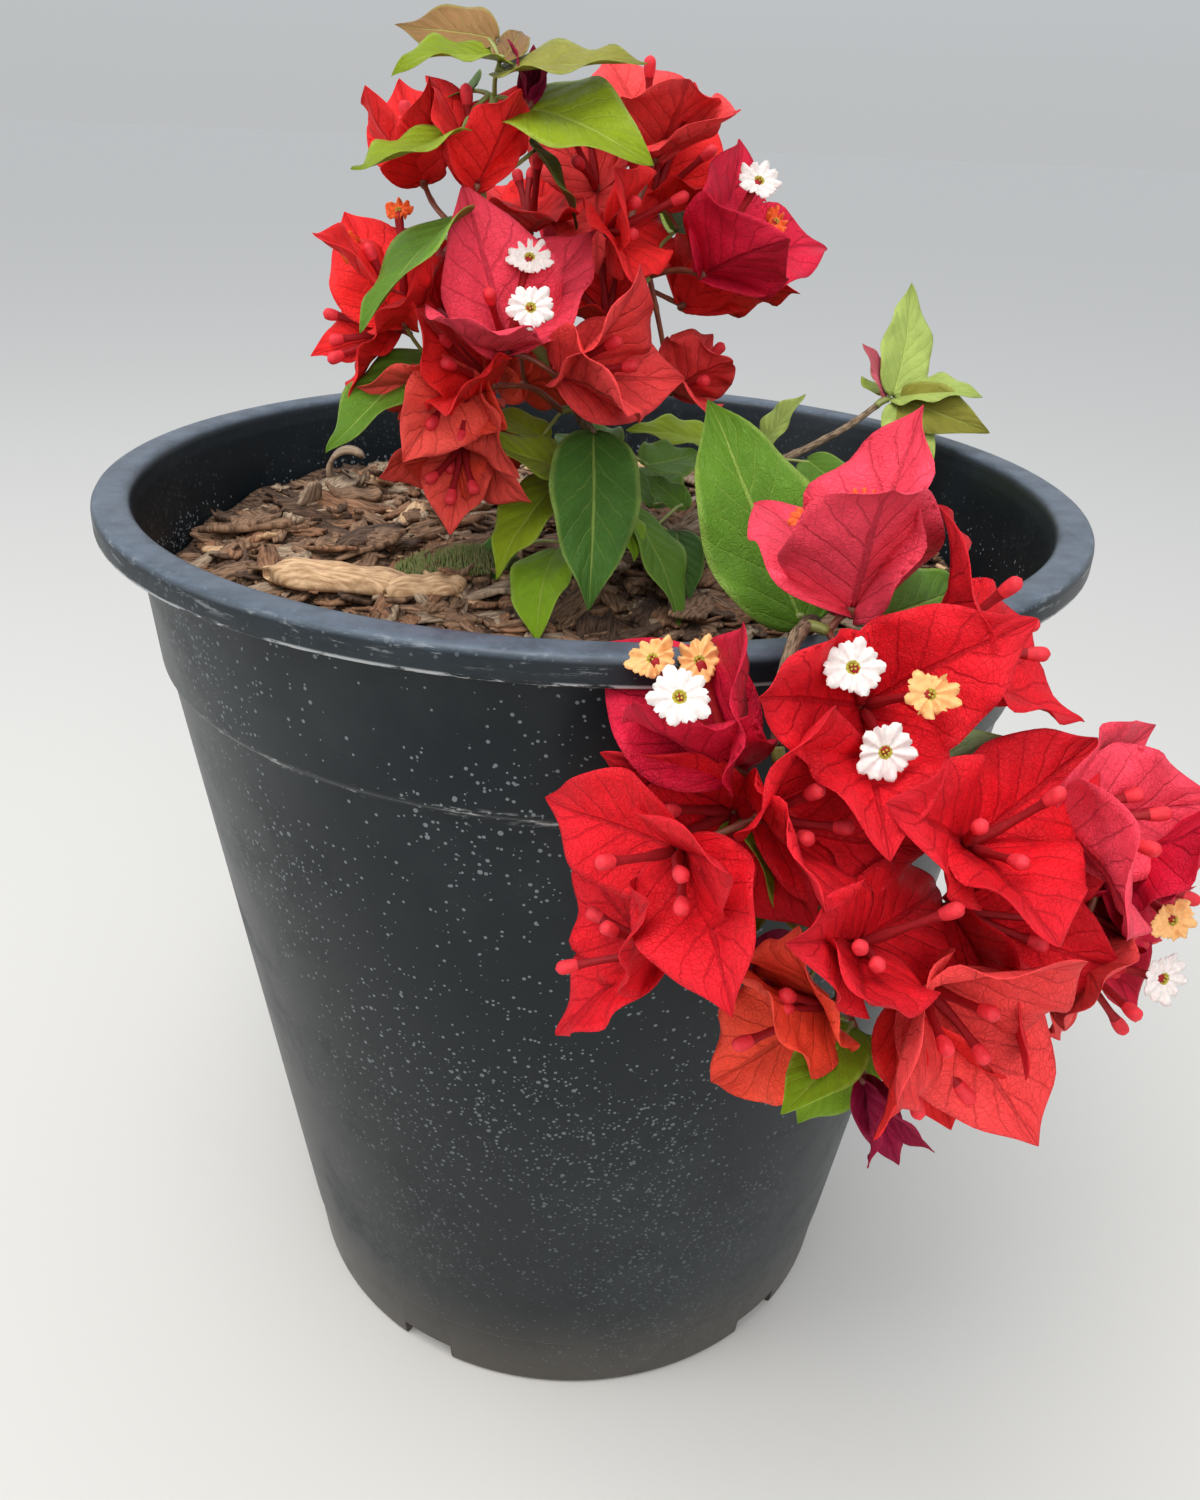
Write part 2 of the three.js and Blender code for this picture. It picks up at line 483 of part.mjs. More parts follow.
// A leaf on its stalk, face up and towards the viewer before it is rolled.
function growLeaf(grown, [place, way, length, roll], seed) {
  const base = vector(place);
  const along = direction(way, false);
  growTwig(grown, base, STALK_RADIUS, seed);
  const shape = {
    base: base.clone().addScaledVector(along, -LEAF.sunk),
    along,
    face: vector(LEAF.face).applyAxisAngle(along, THREE.MathUtils.degToRad(roll)),
    length: length + LEAF.sunk,
    ratio: LEAF.ratio,
    fold: LEAF.fold,
    bend: between(seed * 1.7, ...LEAF.bend),
  };
  grown.blades.push([blade(shape), blade({ ...shape, ...BLADE_ROOM })]);
}

// Grows all that a mass is made of, from one stem that starts in the limb that carries it.
function growMass(mass, number, limbCurves) {
  const seed = number * 31;
  const places = [...mass.heads, ...mass.leaves].map(([place]) => vector(place));
  const middle = places.reduce((sum, place) => sum.add(place), new THREE.Vector3())
    .multiplyScalar(1 / places.length);
  const start = limbCurves.get(mass.limb).getPointAt(mass.at);
  const collar = start.clone().add(middle.sub(start).setLength(COLLAR));
  const grown = { twigs: [], blades: [], wood: [start] };
  growTwig(grown, collar, 2 * TWIG_RADIUS, seed);
  grown.wood = [collar];
  mass.heads.forEach((head, k) => growHead(grown, head, seed + k));
  mass.leaves.forEach((leaf, k) => growLeaf(grown, leaf, seed + 20 + k));
  return {
    twigs: joined(grown.twigs.map(([body]) => asSolid(body))).simplify(FINE_MERGE),
    twigRoom: joined(grown.twigs.map(([, room]) => asSolid(room))),
    blades: joined(grown.blades.map(([body]) => asSolid(body))).simplify(EDGE_MERGE),
    bladeRoom: joined(grown.blades.map(([, room]) => asSolid(room))),
  };
}

function cutClear(solid, rooms) {
  return rooms.reduce((body, room) => body.subtract(room), solid);
}

// Where the pot's rim is, and a little more on all sides, so that no leaf touches its thin edge.
function makeRimRoom() {
  const inner = RIM_RADIUS - RIM_WIDTH - 2 * WALL;
  const outer = RIM_RADIUS + GAP;
  return asSolid(turned([
    [inner, POT_HEIGHT - 2 * RIM_DEPTH], [outer, POT_HEIGHT - RIM_DEPTH - GAP], [outer, POT_HEIGHT + GAP],
    [inner, POT_HEIGHT + GAP], [inner, POT_HEIGHT - 2 * RIM_DEPTH],
  ], POT_SEGMENTS));
}

const group = new THREE.Group();

function addNode(name, colour, solid) {
  const [tint, roughness] = COLOURS[colour];
  const material = new THREE.MeshStandardMaterial({ color: tint, roughness, metalness: 0 });
  const mesh = new THREE.Mesh(asGeometry(solid), material);
  mesh.name = name;
  group.add(mesh);
}

const pot = makePot();
const mulch = makeMulch();
addNode('pot', 'pot', pot);
addNode('mulch', 'mulch', mulch);

const trunk = makeLimb(makeTrunk());
addNode('trunk', 'wood', trunk.solid);
const mulchRoom = mulch.add(mulch.translate([0, 0, GAP]));
const limbRooms = [pot, makeRimRoom(), mulchRoom, trunk.room];
const limbCurves = new Map();

for (const { name, colour, radii, path } of LIMBS) {
  const points = path.map(vector);
  limbCurves.set(name, new THREE.CatmullRomCurve3(points, false, 'centripetal'));
  const steps = 2 * (points.length - 1);
  const made = makeLimb({ path: points, radiusAt: taper(...radii), sides: LIMB_SIDES, steps });
  addNode(name, colour, largestPiece(cutClear(made.solid, limbRooms)));
  limbRooms.push(made.room);
}

// Twigs go first: a blade gives way to every other mass's twigs, and to the blades of earlier masses.
const grown = MASSES.map((mass, k) => growMass(mass, k + 1, limbCurves));
grown.forEach((own, k) => {
  const earlier = grown.slice(0, k);
  const others = grown.filter((other) => other !== own);
  const twigs = cutClear(own.twigs, [...limbRooms, ...earlier.map((other) => other.twigRoom)]);
  const blades = cutClear(own.blades, [
    ...limbRooms,
    ...others.map((other) => other.twigRoom),
    ...earlier.map((other) => other.bladeRoom),
  ]);
  addNode(MASSES[k].name, MASSES[k].colour, largestPiece(twigs.add(blades).simplify(FINE_MERGE)));
});

export default group;
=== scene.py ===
# %% [markdown]
# A young bougainvillea in its nursery pot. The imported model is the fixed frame: it says where the
# pot, the mulch, every stem and every mass of foliage is. This lesson dresses that frame. The pot
# and the mulch come first, then the bark of the stems, and last the leaves and the blossom, which
# grow by the same rule and from the same places as the solids that they replace.

# %% Load the frame and keep its box
import math
import bpy
import numpy as np
from mathutils import Matrix, Vector


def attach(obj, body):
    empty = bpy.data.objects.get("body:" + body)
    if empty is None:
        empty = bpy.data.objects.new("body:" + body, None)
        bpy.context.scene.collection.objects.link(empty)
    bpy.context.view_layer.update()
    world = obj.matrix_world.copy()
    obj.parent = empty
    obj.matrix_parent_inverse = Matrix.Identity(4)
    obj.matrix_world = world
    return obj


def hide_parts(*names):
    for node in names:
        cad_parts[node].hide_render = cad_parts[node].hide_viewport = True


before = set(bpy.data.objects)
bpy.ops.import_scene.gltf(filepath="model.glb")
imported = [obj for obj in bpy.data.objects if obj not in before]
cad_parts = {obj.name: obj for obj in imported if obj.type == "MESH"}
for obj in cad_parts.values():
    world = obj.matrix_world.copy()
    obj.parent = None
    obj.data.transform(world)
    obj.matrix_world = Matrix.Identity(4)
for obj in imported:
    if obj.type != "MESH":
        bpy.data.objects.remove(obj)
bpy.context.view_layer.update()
MM = 0.001

# %% [markdown]
# Everything that looks random comes from one small rule, so that each run gives the same bush. The
# rule is the one that shaped the solids: the fraction left over from a very large sine.

# %% The seeded rule
def random(seed):
    value = np.sin(np.asarray(seed) * 12.9898) * 43758.5453
    return value - np.floor(value)


def between(seed, low, high):
    return low + (high - low) * random(seed)


def smoothstep(value, low, high):
    t = np.clip((value - low) / (high - low), 0, 1)
    return t * t * (3 - 2 * t)


def unit(vector):
    vector = np.asarray(vector, float)
    return vector / np.linalg.norm(vector)


def spun(vector, axis, angle):
    """The vector, turned about a unit axis."""
    cosine, sine = math.cos(angle), math.sin(angle)
    return (vector * cosine + np.cross(axis, vector) * sine
            + axis * np.dot(axis, vector) * (1 - cosine))


print("three values:", [round(float(random(k)), 3) for k in (1, 2, 3)])

# %% [markdown]
# The bush is made of thousands of small shapes. Making an object of each would be slow, so a pile
# gathers points, faces, flat coordinates and material numbers, and becomes one mesh at the end.

# %% A pile of shapes that becomes one mesh
def new_object(name, data):
    made = bpy.data.objects.new(name, data)
    bpy.context.scene.collection.objects.link(made)
    return made


class Pile:
    def __init__(self):
        self.points, self.faces, self.flats, self.paints = [], [], [], []
        self.count = 0

    def add(self, points, faces, flat=None, paint=0):
        """Faces are an array of four corners each; a triangle repeats its last corner."""
        flat = np.zeros((len(points), 2)) if flat is None else flat
        self.points.append(points)
        self.faces.append(np.asarray(faces) + self.count)
        self.flats.append(flat)
        self.paints.append(np.broadcast_to(paint, len(faces)))
        self.count += len(points)

    def build(self, name, materials, slot, nodes):
        points = np.concatenate(self.points) * MM
        faces = np.concatenate(self.faces)
        flats = np.concatenate(self.flats)
        paints = np.concatenate(self.paints)
        corners = [row if row[2] != row[3] else row[:3] for row in faces.tolist()]
        mesh = bpy.data.meshes.new(name)
        mesh.from_pydata(points.tolist(), [], corners)
        layer = mesh.uv_layers.new(name="blade")
        loops = np.empty(len(mesh.loops), dtype=np.int32)
        mesh.loops.foreach_get("vertex_index", loops)
        layer.data.foreach_set("uv", flats[loops].astype(np.float32).ravel())
        mesh.polygons.foreach_set("material_index", paints.astype(np.int32))
        mesh.shade_smooth()
        for material in materials:
            mesh.materials.append(material)
        piece = new_object(name, mesh)
        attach(piece, "root")
        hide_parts(*nodes)
        print(f"{name}: {sum(len(c) - 2 for c in corners)} triangles")
        return piece


def grid_faces(rows, columns, closed=False, start=0):
    """Corner numbers of a grid of points; closed joins the last column to the first."""
    r, c = np.meshgrid(np.arange(rows - 1), np.arange(columns if closed else columns - 1),
                       indexing="ij")
    here, right = r * columns + c, r * columns + (c + 1) % columns
    return np.stack([here, right, right + columns, here + columns], -1).reshape(-1, 4) + start

# %% [markdown]
# Materials are written as short chains of nodes. These helpers start a material with its constant
# values on the shader's own sockets, and add and join a node in one line. An input is either a
# plain value or the output of another node.

# %% Helpers for materials and nodes
def finish(name, base, roughness, **constants):
    """A new material, its node tree and its shader."""
    material = bpy.data.materials.new(name)
    material.use_nodes = True
    shader = material.node_tree.nodes["Principled BSDF"]
    shader.inputs["Base Color"].default_value = (*base, 1)
    shader.inputs["Roughness"].default_value = roughness
    for socket, value in constants.items():
        shader.inputs[socket.replace("_", " ")].default_value = value
    material.diffuse_color = (*base, 1)
    return material, material.node_tree, shader


def node(tree, kind, inputs=None, **settings):
    made = tree.nodes.new(kind)
    for key, value in settings.items():
        setattr(made, key, value)
    for key, value in (inputs or {}).items():
        if isinstance(value, bpy.types.NodeSocket):
            tree.links.new(value, made.inputs[key])
        else:
            made.inputs[key].default_value = value
    return made


print("materials so far:", len(bpy.data.materials))

# %% Helpers for values and colours
FLOAT, VECTOR, COLOUR = "NodeSocketFloat", "NodeSocketVector", "NodeSocketColor"


def maths(tree, operation, first, second=0.0, third=0.0):
    return node(tree, "ShaderNodeMath", {0: first, 1: second, 2: third},
                operation=operation).outputs[0]


def blend_colour(tree, share, first, second):
    return node(tree, "ShaderNodeMix", {0: share, 6: first, 7: second}, data_type="RGBA").outputs[2]


def ramp(tree, value, low, high, out_low=0.0, out_high=1.0):
    """A smooth change from one value to another between two limits."""
    return node(tree, "ShaderNodeMapRange", {
        "Value": value, "From Min": low, "From Max": high, "To Min": out_low, "To Max": out_high,
    }, interpolation_type="SMOOTHSTEP").outputs["Result"]


def scaled(tree, vector, scale):
    """A place, stretched by its own factor along each axis."""
    return node(tree, "ShaderNodeMapping", {"Vector": vector, "Scale": scale}).outputs[0]


def new_group(name, inputs, outputs):
    """A node group with the named sockets, and its two end nodes."""
    group = bpy.data.node_groups.new(name, "ShaderNodeTree")
    for label, (kind, value) in inputs.items():
        socket = group.interface.new_socket(label, in_out="INPUT", socket_type=kind)
        if value is not None:
            socket.default_value = value
    for label, kind in outputs.items():
        group.interface.new_socket(label, in_out="OUTPUT", socket_type=kind)
    return group, group.nodes.new("NodeGroupInput"), group.nodes.new("NodeGroupOutput")


def placed(tree, group, inputs):
    return node(tree, "ShaderNodeGroup", inputs, node_tree=group)


def relief(tree, shader, height, strength, distance):
    bump = node(tree, "ShaderNodeBump", {"Strength": strength, "Distance": distance,
                                         "Height": height})
    tree.links.new(bump.outputs["Normal"], shader.inputs["Normal"])


print("socket kinds:", FLOAT, VECTOR, COLOUR)

# %% [markdown]
# The camera stands where the photographer stood: close above the front of the pot, looking down at
# a quarter of a right angle, and tilted a little to one side. Its axes are given as three vectors.

# %% Camera
EYE = (-5 * MM, -379 * MM, 396.5 * MM)
LOOK = Vector((0.0233, 0.8883, -0.4587))
ACROSS = Vector((0.9992, -0.0054, 0.0403))
LENS, SENSOR, NEAREST = 28.8, 36, 0.01

lens = bpy.data.cameras.new("camera")
lens.lens, lens.sensor_width, lens.clip_start = LENS, SENSOR, NEAREST
camera = new_object("camera", lens)
upright = ACROSS.cross(LOOK).normalized()
turn = Matrix((ACROSS.normalized(), upright, -LOOK.normalized())).transposed()
camera.matrix_world = Matrix.Translation(EYE) @ turn.to_4x4()
bpy.context.scene.camera = camera
bpy.context.scene.view_settings.view_transform = "Standard"
print("camera at", [round(v, 3) for v in EYE],
      "view transform:", bpy.context.scene.view_settings.view_transform)

# %% [markdown]
# Under an open sky the light is soft and comes from everywhere above. One wide lamp overhead gives
# the gentle shadows under the leaves, a second from the left draws the pot's round wall, and a
# third from the front fills the blossom.

# %% Lamps
AIM_AT = Vector((0, 0, 0.25))
# A lamp's name, place, width, power and tint.
LAMPS = (("sky_lamp", (-0.35, -0.5, 1.7), 1.1, 17, (1.0, 0.98, 0.95)),
         ("left_lamp", (-1.7, -0.5, 0.9), 1.0, 8, (0.92, 0.96, 1.0)),
         ("front_lamp", (0.3, -1.7, 1.0), 1.0, 12, (1.0, 0.98, 0.95)))
for name, place, width, power, tint in LAMPS:
    light = bpy.data.lights.new(name, "AREA")
    light.shape, light.size, light.energy, light.color = "DISK", width, power, tint
    lamp = new_object(name, light)
    lamp.location = place
    lamp.rotation_mode = "QUATERNION"
    lamp.rotation_quaternion = (AIM_AT - Vector(place)).to_track_quat("-Z", "Y")
print("lamps:", len(LAMPS))

# %% [markdown]
# The floor is plain and pale. The sky is a slow change from one plain colour to another, and near
# the horizon it is as bright as the far floor, so that no line cuts the picture from any side. The
# far floor's colour follows from the light that reaches it and from how much of it comes back.

# %% Floor and sky
FLOOR_SIZE = 80.0
PALE = (0.60, 0.575, 0.53)
SKY_TOP = (0.90, 0.97, 1.08)
SKY_SHARE, SKY_RISE = 0.853, 0.7

bpy.ops.mesh.primitive_plane_add(size=FLOOR_SIZE)
floor = bpy.context.object
floor.name = "floor"
floor.data.materials.append(finish("pale_floor", PALE, 0.9, Specular_IOR_Level=0.1)[0])

far_floor = [SKY_SHARE * pale * sky / (1 - (1 - SKY_SHARE) * pale)
             for pale, sky in zip(PALE, SKY_TOP)]
world = bpy.data.worlds.new("sky")
world.use_nodes = True
bpy.context.scene.world = world
tree = world.node_tree
up = node(tree, "ShaderNodeSeparateXYZ", {0: node(tree, "ShaderNodeTexCoord").outputs["Generated"]})
sky = blend_colour(tree, ramp(tree, up.outputs["Z"], 0.0, SKY_RISE), (*far_floor, 1), (*SKY_TOP, 1))
tree.links.new(sky, tree.nodes["Background"].inputs["Color"])
print("far floor and low sky:", [round(v, 3) for v in far_floor])

# %% [markdown]
# Dust lies on the pot, the old wood and the bark as pale specks of many sizes. The group scatters
# round cells, keeps only some of them, and shrinks each to a dot. The same group also gives a
# slow, cloudy mask for the film of dust between the specks.

# %% Dust: a shader group for pot, wood and bark
dust_group, ins, outs = new_group("dust", {
    "Place": (VECTOR, None), "Specks per metre": (FLOAT, 160.0), "Speck size": (FLOAT, 0.1),
    "Share kept": (FLOAT, 0.4), "Film scale": (FLOAT, 9.0),
}, {"Specks": FLOAT, "Film": FLOAT})
cells = node(dust_group, "ShaderNodeTexVoronoi", {
    "Vector": ins.outputs["Place"], "Scale": ins.outputs["Specks per metre"]})
chance = node(dust_group, "ShaderNodeSeparateColor", {"Color": cells.outputs["Color"]})
kept = maths(dust_group, "LESS_THAN", chance.outputs[0], ins.outputs["Share kept"])
size = maths(dust_group, "MULTIPLY", ins.outputs["Speck size"], chance.outputs[1])
inside = maths(dust_group, "LESS_THAN", cells.outputs["Distance"], size)
cloud = node(dust_group, "ShaderNodeTexNoise", {
    "Vector": ins.outputs["Place"], "Scale": ins.outputs["Film scale"], "Detail": 6.0,
    "Roughness": 0.65})
dust_group.links.new(maths(dust_group, "MULTIPLY", kept, inside), outs.inputs["Specks"])
dust_group.links.new(ramp(dust_group, cloud.outputs["Fac"], 0.42, 0.75), outs.inputs["Film"])
print("dust group sockets:", len(dust_group.interface.items_tree))

# %% [markdown]
# The pot is a thin turned shell of black plastic: a flat foot, a line above it, a shoulder where
# pots stack, and a rim that turns down outside. It could be built from cylinders, but one profile
# swept round the axis keeps the wall an even thickness. Each corner of the profile is rounded by a
# short curve, as moulded plastic is, and 192 steps make the rim a true circle.

# %% Pot: profile and sweep
POT_HEIGHT, RIM_RADIUS, RIM_DEPTH, RIM_WIDTH, WALL = 300, 150, 7.5, 10, 2
FOOT_RADIUS, FOOT_LINE, FOOT_LINE_RADIUS, FLOOR_THICK = 103, 25, 106, 4
SHOULDER_Z, SHOULDER_STEP, SHOULDER_RADIUS = 250, 1.8, 134.7
POT_STEPS = 192
DRAINS, DRAIN_WIDTH, DRAIN_DEPTH, DRAIN_HEIGHT, DRAIN_START = 5, 20, 16, 8, -119


def inner_radius(z):
    """The radius of the pot's inside at a height."""
    low = SHOULDER_RADIUS + SHOULDER_STEP - WALL
    upper = low + ((z - SHOULDER_Z) / (POT_HEIGHT - WALL - SHOULDER_Z)
                   * (RIM_RADIUS - RIM_WIDTH - WALL - low))
    slope = (SHOULDER_RADIUS - FOOT_LINE_RADIUS) / (SHOULDER_Z - FOOT_LINE)
    lower = FOOT_LINE_RADIUS - WALL + (z - FOOT_LINE) * slope
    return np.where(z > SHOULDER_Z, upper, lower)


def rounded(profile, steps=5):
    """The profile's corners, each given as radius, height and rounding, as short curves."""
    path = []
    for k, (r, z, size) in enumerate(profile):
        here = np.array([r, z], float)
        if size == 0:
            path.append(here)
            continue
        before = np.array(profile[k - 1][:2], float)
        after = np.array(profile[k + 1][:2], float)
        start = here + unit(before - here) * size
        end = here + unit(after - here) * size
        for t in np.linspace(0, 1, steps):
            path.append((1 - t) ** 2 * start + 2 * t * (1 - t) * here + t * t * end)
    return np.array(path)


def swept(profile, steps):
    """Points of a profile turned round the axis, one row for each profile point."""
    angle = np.arange(steps) * 2 * np.pi / steps
    radius, height = profile[:, :1], profile[:, 1:]
    return np.stack([radius * np.cos(angle), radius * np.sin(angle), height + 0 * angle], -1)


neck = RIM_RADIUS - RIM_WIDTH
lip = POT_HEIGHT - RIM_DEPTH
pot_profile = rounded([
    (0.5, 0, 0), (FOOT_RADIUS, 0, 2.5), (FOOT_LINE_RADIUS - 0.3, FOOT_LINE - 0.4, 0.3),
    (FOOT_LINE_RADIUS + 0.3, FOOT_LINE + 0.4, 0.3), (SHOULDER_RADIUS, SHOULDER_Z, 0.5),
    (SHOULDER_RADIUS + SHOULDER_STEP, SHOULDER_Z + SHOULDER_STEP, 1.0),
    (neck, POT_HEIGHT - WALL, 0.9), (RIM_RADIUS - WALL, POT_HEIGHT - WALL, 0.8),
    (RIM_RADIUS - WALL, lip, 0.7), (RIM_RADIUS, lip, 0.8), (RIM_RADIUS, POT_HEIGHT, 2.6),
    (neck - 0.5, POT_HEIGHT, 3.2), (inner_radius(SHOULDER_Z + WALL), SHOULDER_Z + WALL, 1.0),
    (inner_radius(SHOULDER_Z), SHOULDER_Z, 0.5), (inner_radius(FOOT_LINE), FOOT_LINE, 0.5),
    (inner_radius(FLOOR_THICK), FLOOR_THICK, 1.5), (0.5, FLOOR_THICK, 0)])
pot_points = swept(pot_profile, POT_STEPS)
print("pot profile points:", len(pot_profile), "outer radius:", round(pot_profile[:, 0].max(), 2))

# %% [markdown]
# Water leaves through five notches cut in the foot. A boolean cut takes a box out of the turned
# shell at each, which leaves the same clean edges as the mould does.

# %% Pot: object and drain notches
SHARP_ANGLE = math.radians(40)
rows = len(pot_profile)
shell_faces = grid_faces(rows, POT_STEPS, closed=True).tolist()
shell_faces += [list(range(POT_STEPS))[::-1],
                [(rows - 1) * POT_STEPS + k for k in range(POT_STEPS)]]
shell = bpy.data.meshes.new("nursery_pot")
shell.from_pydata((pot_points.reshape(-1, 3) * MM).tolist(), [], shell_faces)
pot = new_object("nursery_pot", shell)
cutters = []
for k in range(DRAINS):
    bpy.ops.mesh.primitive_cube_add(size=1)
    cutter = bpy.context.object
    angle = math.radians(DRAIN_START + 360 / DRAINS * k)
    cutter.scale = (DRAIN_DEPTH * MM, DRAIN_WIDTH * MM, 2 * DRAIN_HEIGHT * MM)
    cutter.rotation_euler.z = angle
    cutter.location = (FOOT_RADIUS * MM * math.cos(angle), FOOT_RADIUS * MM * math.sin(angle), 0)
    cut = pot.modifiers.new(f"drain_{k}", "BOOLEAN")
    cut.operation, cut.solver, cut.object = "DIFFERENCE", "EXACT", cutter
    cutters.append(cutter)
bpy.context.view_layer.update()
cut_mesh = bpy.data.meshes.new_from_object(pot.evaluated_get(bpy.context.evaluated_depsgraph_get()))
pot.modifiers.clear()
pot.data = cut_mesh
for cutter in cutters:
    bpy.data.objects.remove(cutter)
pot.data.shade_smooth()
pot.data.set_sharp_from_angle(angle=SHARP_ANGLE)
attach(pot, "root")
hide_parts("pot")
print("pot faces:", len(pot.data.polygons))

# %% [markdown]
# New nursery plastic is black with a satin skin. In use it gathers pale specks of dust and dried
# water. A slow noise says where the specks swarm, and two sizes of them lie over each other.

# %% Pot: black plastic and its specks
BLACK = (0.0030, 0.0064, 0.0088)
pot_paint, tree, shader = finish("black_plastic", BLACK, 0.42, Specular_IOR_Level=0.23)
place = node(tree, "ShaderNodeTexCoord").outputs["Object"]
height = node(tree, "ShaderNodeSeparateXYZ", {"Vector": place}).outputs["Z"]
swarm = node(tree, "ShaderNodeTexNoise", {"Vector": place, "Scale": 13.0, "Detail": 3.0})
dust = placed(tree, dust_group, {
    "Place": place, "Specks per metre": 400.0, "Speck size": 0.30, "Film scale": 7.0,
    "Share kept": ramp(tree, swarm.outputs["Fac"], 0.38, 0.62, 0.03, 0.8)})
fine = placed(tree, dust_group, {
    "Place": place, "Specks per metre": 700.0, "Speck size": 0.38, "Film scale": 26.0,
    "Share kept": ramp(tree, swarm.outputs["Fac"], 0.32, 0.62, 0.08, 0.9)})
print("specks in two sizes, nodes so far:", len(tree.nodes))

# %% [markdown]
# Where pots touch, the plastic is rubbed bright: along the shoulder and under the lip. Each mark
# follows a height above the foot and is broken up by long scratches, so that none runs on whole.
# The marks lie on the outside only, which the wall's own slope tells from the inside.

# %% Pot: rub marks
# The height of each line, how far it reaches, how broken it is and how strong.
RUB_LINES = ((SHOULDER_Z + 1, 2.6, 0.54, 1.0), (lip + 0.4, 0.9, 0.44, 1.0),
             (lip + 5, 3.0, 0.55, 0.35), (SHOULDER_Z + 1, 0.7, 0.36, 0.16))
outward = node(tree, "ShaderNodeVectorMath", {
    0: node(tree, "ShaderNodeVectorMath", {0: place, 1: (1, 1, 0)},
            operation="MULTIPLY").outputs[0],
}, operation="LENGTH").outputs["Value"]
slope = (SHOULDER_RADIUS - FOOT_LINE_RADIUS) / (SHOULDER_Z - FOOT_LINE)
wall_line = maths(tree, "MULTIPLY_ADD", height, slope,
                  (FOOT_LINE_RADIUS - FOOT_LINE * slope - 1) * MM)
outside = maths(tree, "GREATER_THAN", outward, wall_line)
scratch = node(tree, "ShaderNodeTexNoise", {
    "Vector": scaled(tree, place, (85, 85, 500)), "Scale": 1.0, "Detail": 6.0, "Roughness": 0.72})
rubbed = 0.0
for level, reach, cutoff, strength in RUB_LINES:
    away = maths(tree, "ABSOLUTE", maths(tree, "SUBTRACT", height, level * MM))
    near = ramp(tree, away, reach * MM, 0.2 * reach * MM)
    line = maths(tree, "MULTIPLY", near, ramp(tree, scratch.outputs["Fac"], cutoff, cutoff + 0.07))
    rubbed = maths(tree, "MAXIMUM", rubbed, maths(tree, "MULTIPLY", line, strength))
lip_ring = maths(tree, "GREATER_THAN", outward, (RIM_RADIUS - 1.5) * MM)
at_lip = maths(tree, "GREATER_THAN", height, (lip - 3) * MM)
outer_face = maths(tree, "MAXIMUM", maths(tree, "SUBTRACT", outside, at_lip), lip_ring)
rubbed = maths(tree, "MULTIPLY", rubbed, outer_face)
print("rubbed lines at", [level for level, *_ in RUB_LINES], "mm")

# %% [markdown]
# The colour is laid on in layers, from the plastic outwards: a cloudy film, soil near the foot, the
# specks, the paler bluish top of the rim, which is partly dust and partly a painted reflection of
# the sky, and last the rub marks. The specks also make the skin rougher, and a slow waviness of the
# wall lets the light run unevenly down it.

# %% Pot: layers of colour
# The rim's pale bluish tint is partly dust and partly a painted reflection of the sky.
GREY_FILM, RIM_DUST_AND_SKY_SHEEN = (0.055, 0.066, 0.070), (0.175, 0.215, 0.270)
SPECK, RUBBED, SOIL = (0.34, 0.38, 0.39), (0.62, 0.64, 0.63), (0.16, 0.13, 0.10)
below_rim = ramp(tree, height, (lip + 1) * MM, (lip - 8) * MM, 0.35, 1.0)
below_rim = maths(tree, "MULTIPLY", below_rim, ramp(tree, outside, 0.0, 1.0, 0.2, 1.0))
upper = maths(tree, "MULTIPLY", ramp(tree, height, 0.03, 0.2, 0.35, 1.0), below_rim)
all_specks = maths(tree, "MAXIMUM", dust.outputs["Specks"], fine.outputs["Specks"])
specks = maths(tree, "MULTIPLY", all_specks, upper)
# Painted sky reflection with dust: a pale bluish band on the rim's top and a faint one on its side.
side_dust_and_sheen = ramp(tree, height, (lip - 0.2) * MM, (lip + 1.5) * MM, 0.0, 0.03)
top_dust_and_sheen = ramp(tree, height, (POT_HEIGHT - 2.2) * MM, (POT_HEIGHT - 0.3) * MM, 0.0, 0.42)
uneven = ramp(tree, scratch.outputs["Fac"], 0.30, 0.65, 0.62, 1.15)
layers = ((maths(tree, "MULTIPLY", dust.outputs["Film"], 0.30), GREY_FILM),
          (ramp(tree, height, 0.05, 0.0, 0.0, 0.3), SOIL),
          (maths(tree, "MULTIPLY", specks, 0.40), SPECK),
          (maths(tree, "MULTIPLY", maths(tree, "ADD", side_dust_and_sheen, top_dust_and_sheen), uneven), RIM_DUST_AND_SKY_SHEEN),
          (maths(tree, "MULTIPLY", rubbed, 0.55), RUBBED))
colour = (*BLACK, 1)
for share, over in layers:
    colour = blend_colour(tree, share, colour, (*over, 1))
tree.links.new(colour, shader.inputs["Base Color"])
rough = maths(tree, "ADD", 0.36, maths(tree, "MULTIPLY", fine.outputs["Film"], 0.14))
tree.links.new(maths(tree, "ADD", rough, maths(tree, "MULTIPLY", specks, 0.3)),
               shader.inputs["Roughness"])
flow = node(tree, "ShaderNodeTexNoise", {
    "Vector": scaled(tree, place, (60, 60, 9)), "Scale": 1.0, "Detail": 4.0})
relief(tree, shader, maths(tree, "MULTIPLY_ADD", specks, 0.5, flow.outputs["Fac"]), 0.18, 0.0006)
pot.data.materials.clear()
pot.data.materials.append(pot_paint)
print("pot material nodes:", len(tree.nodes))

# %% [markdown]
# The pot is filled with bark mulch. Its surface slopes a little, is heaped in the middle and lies
# level round the foot of the plant. The same height rule that shaped the solid places everything
# that lies on it here, and a fine uneven skin of dark crumbs fills the gaps between the chips.

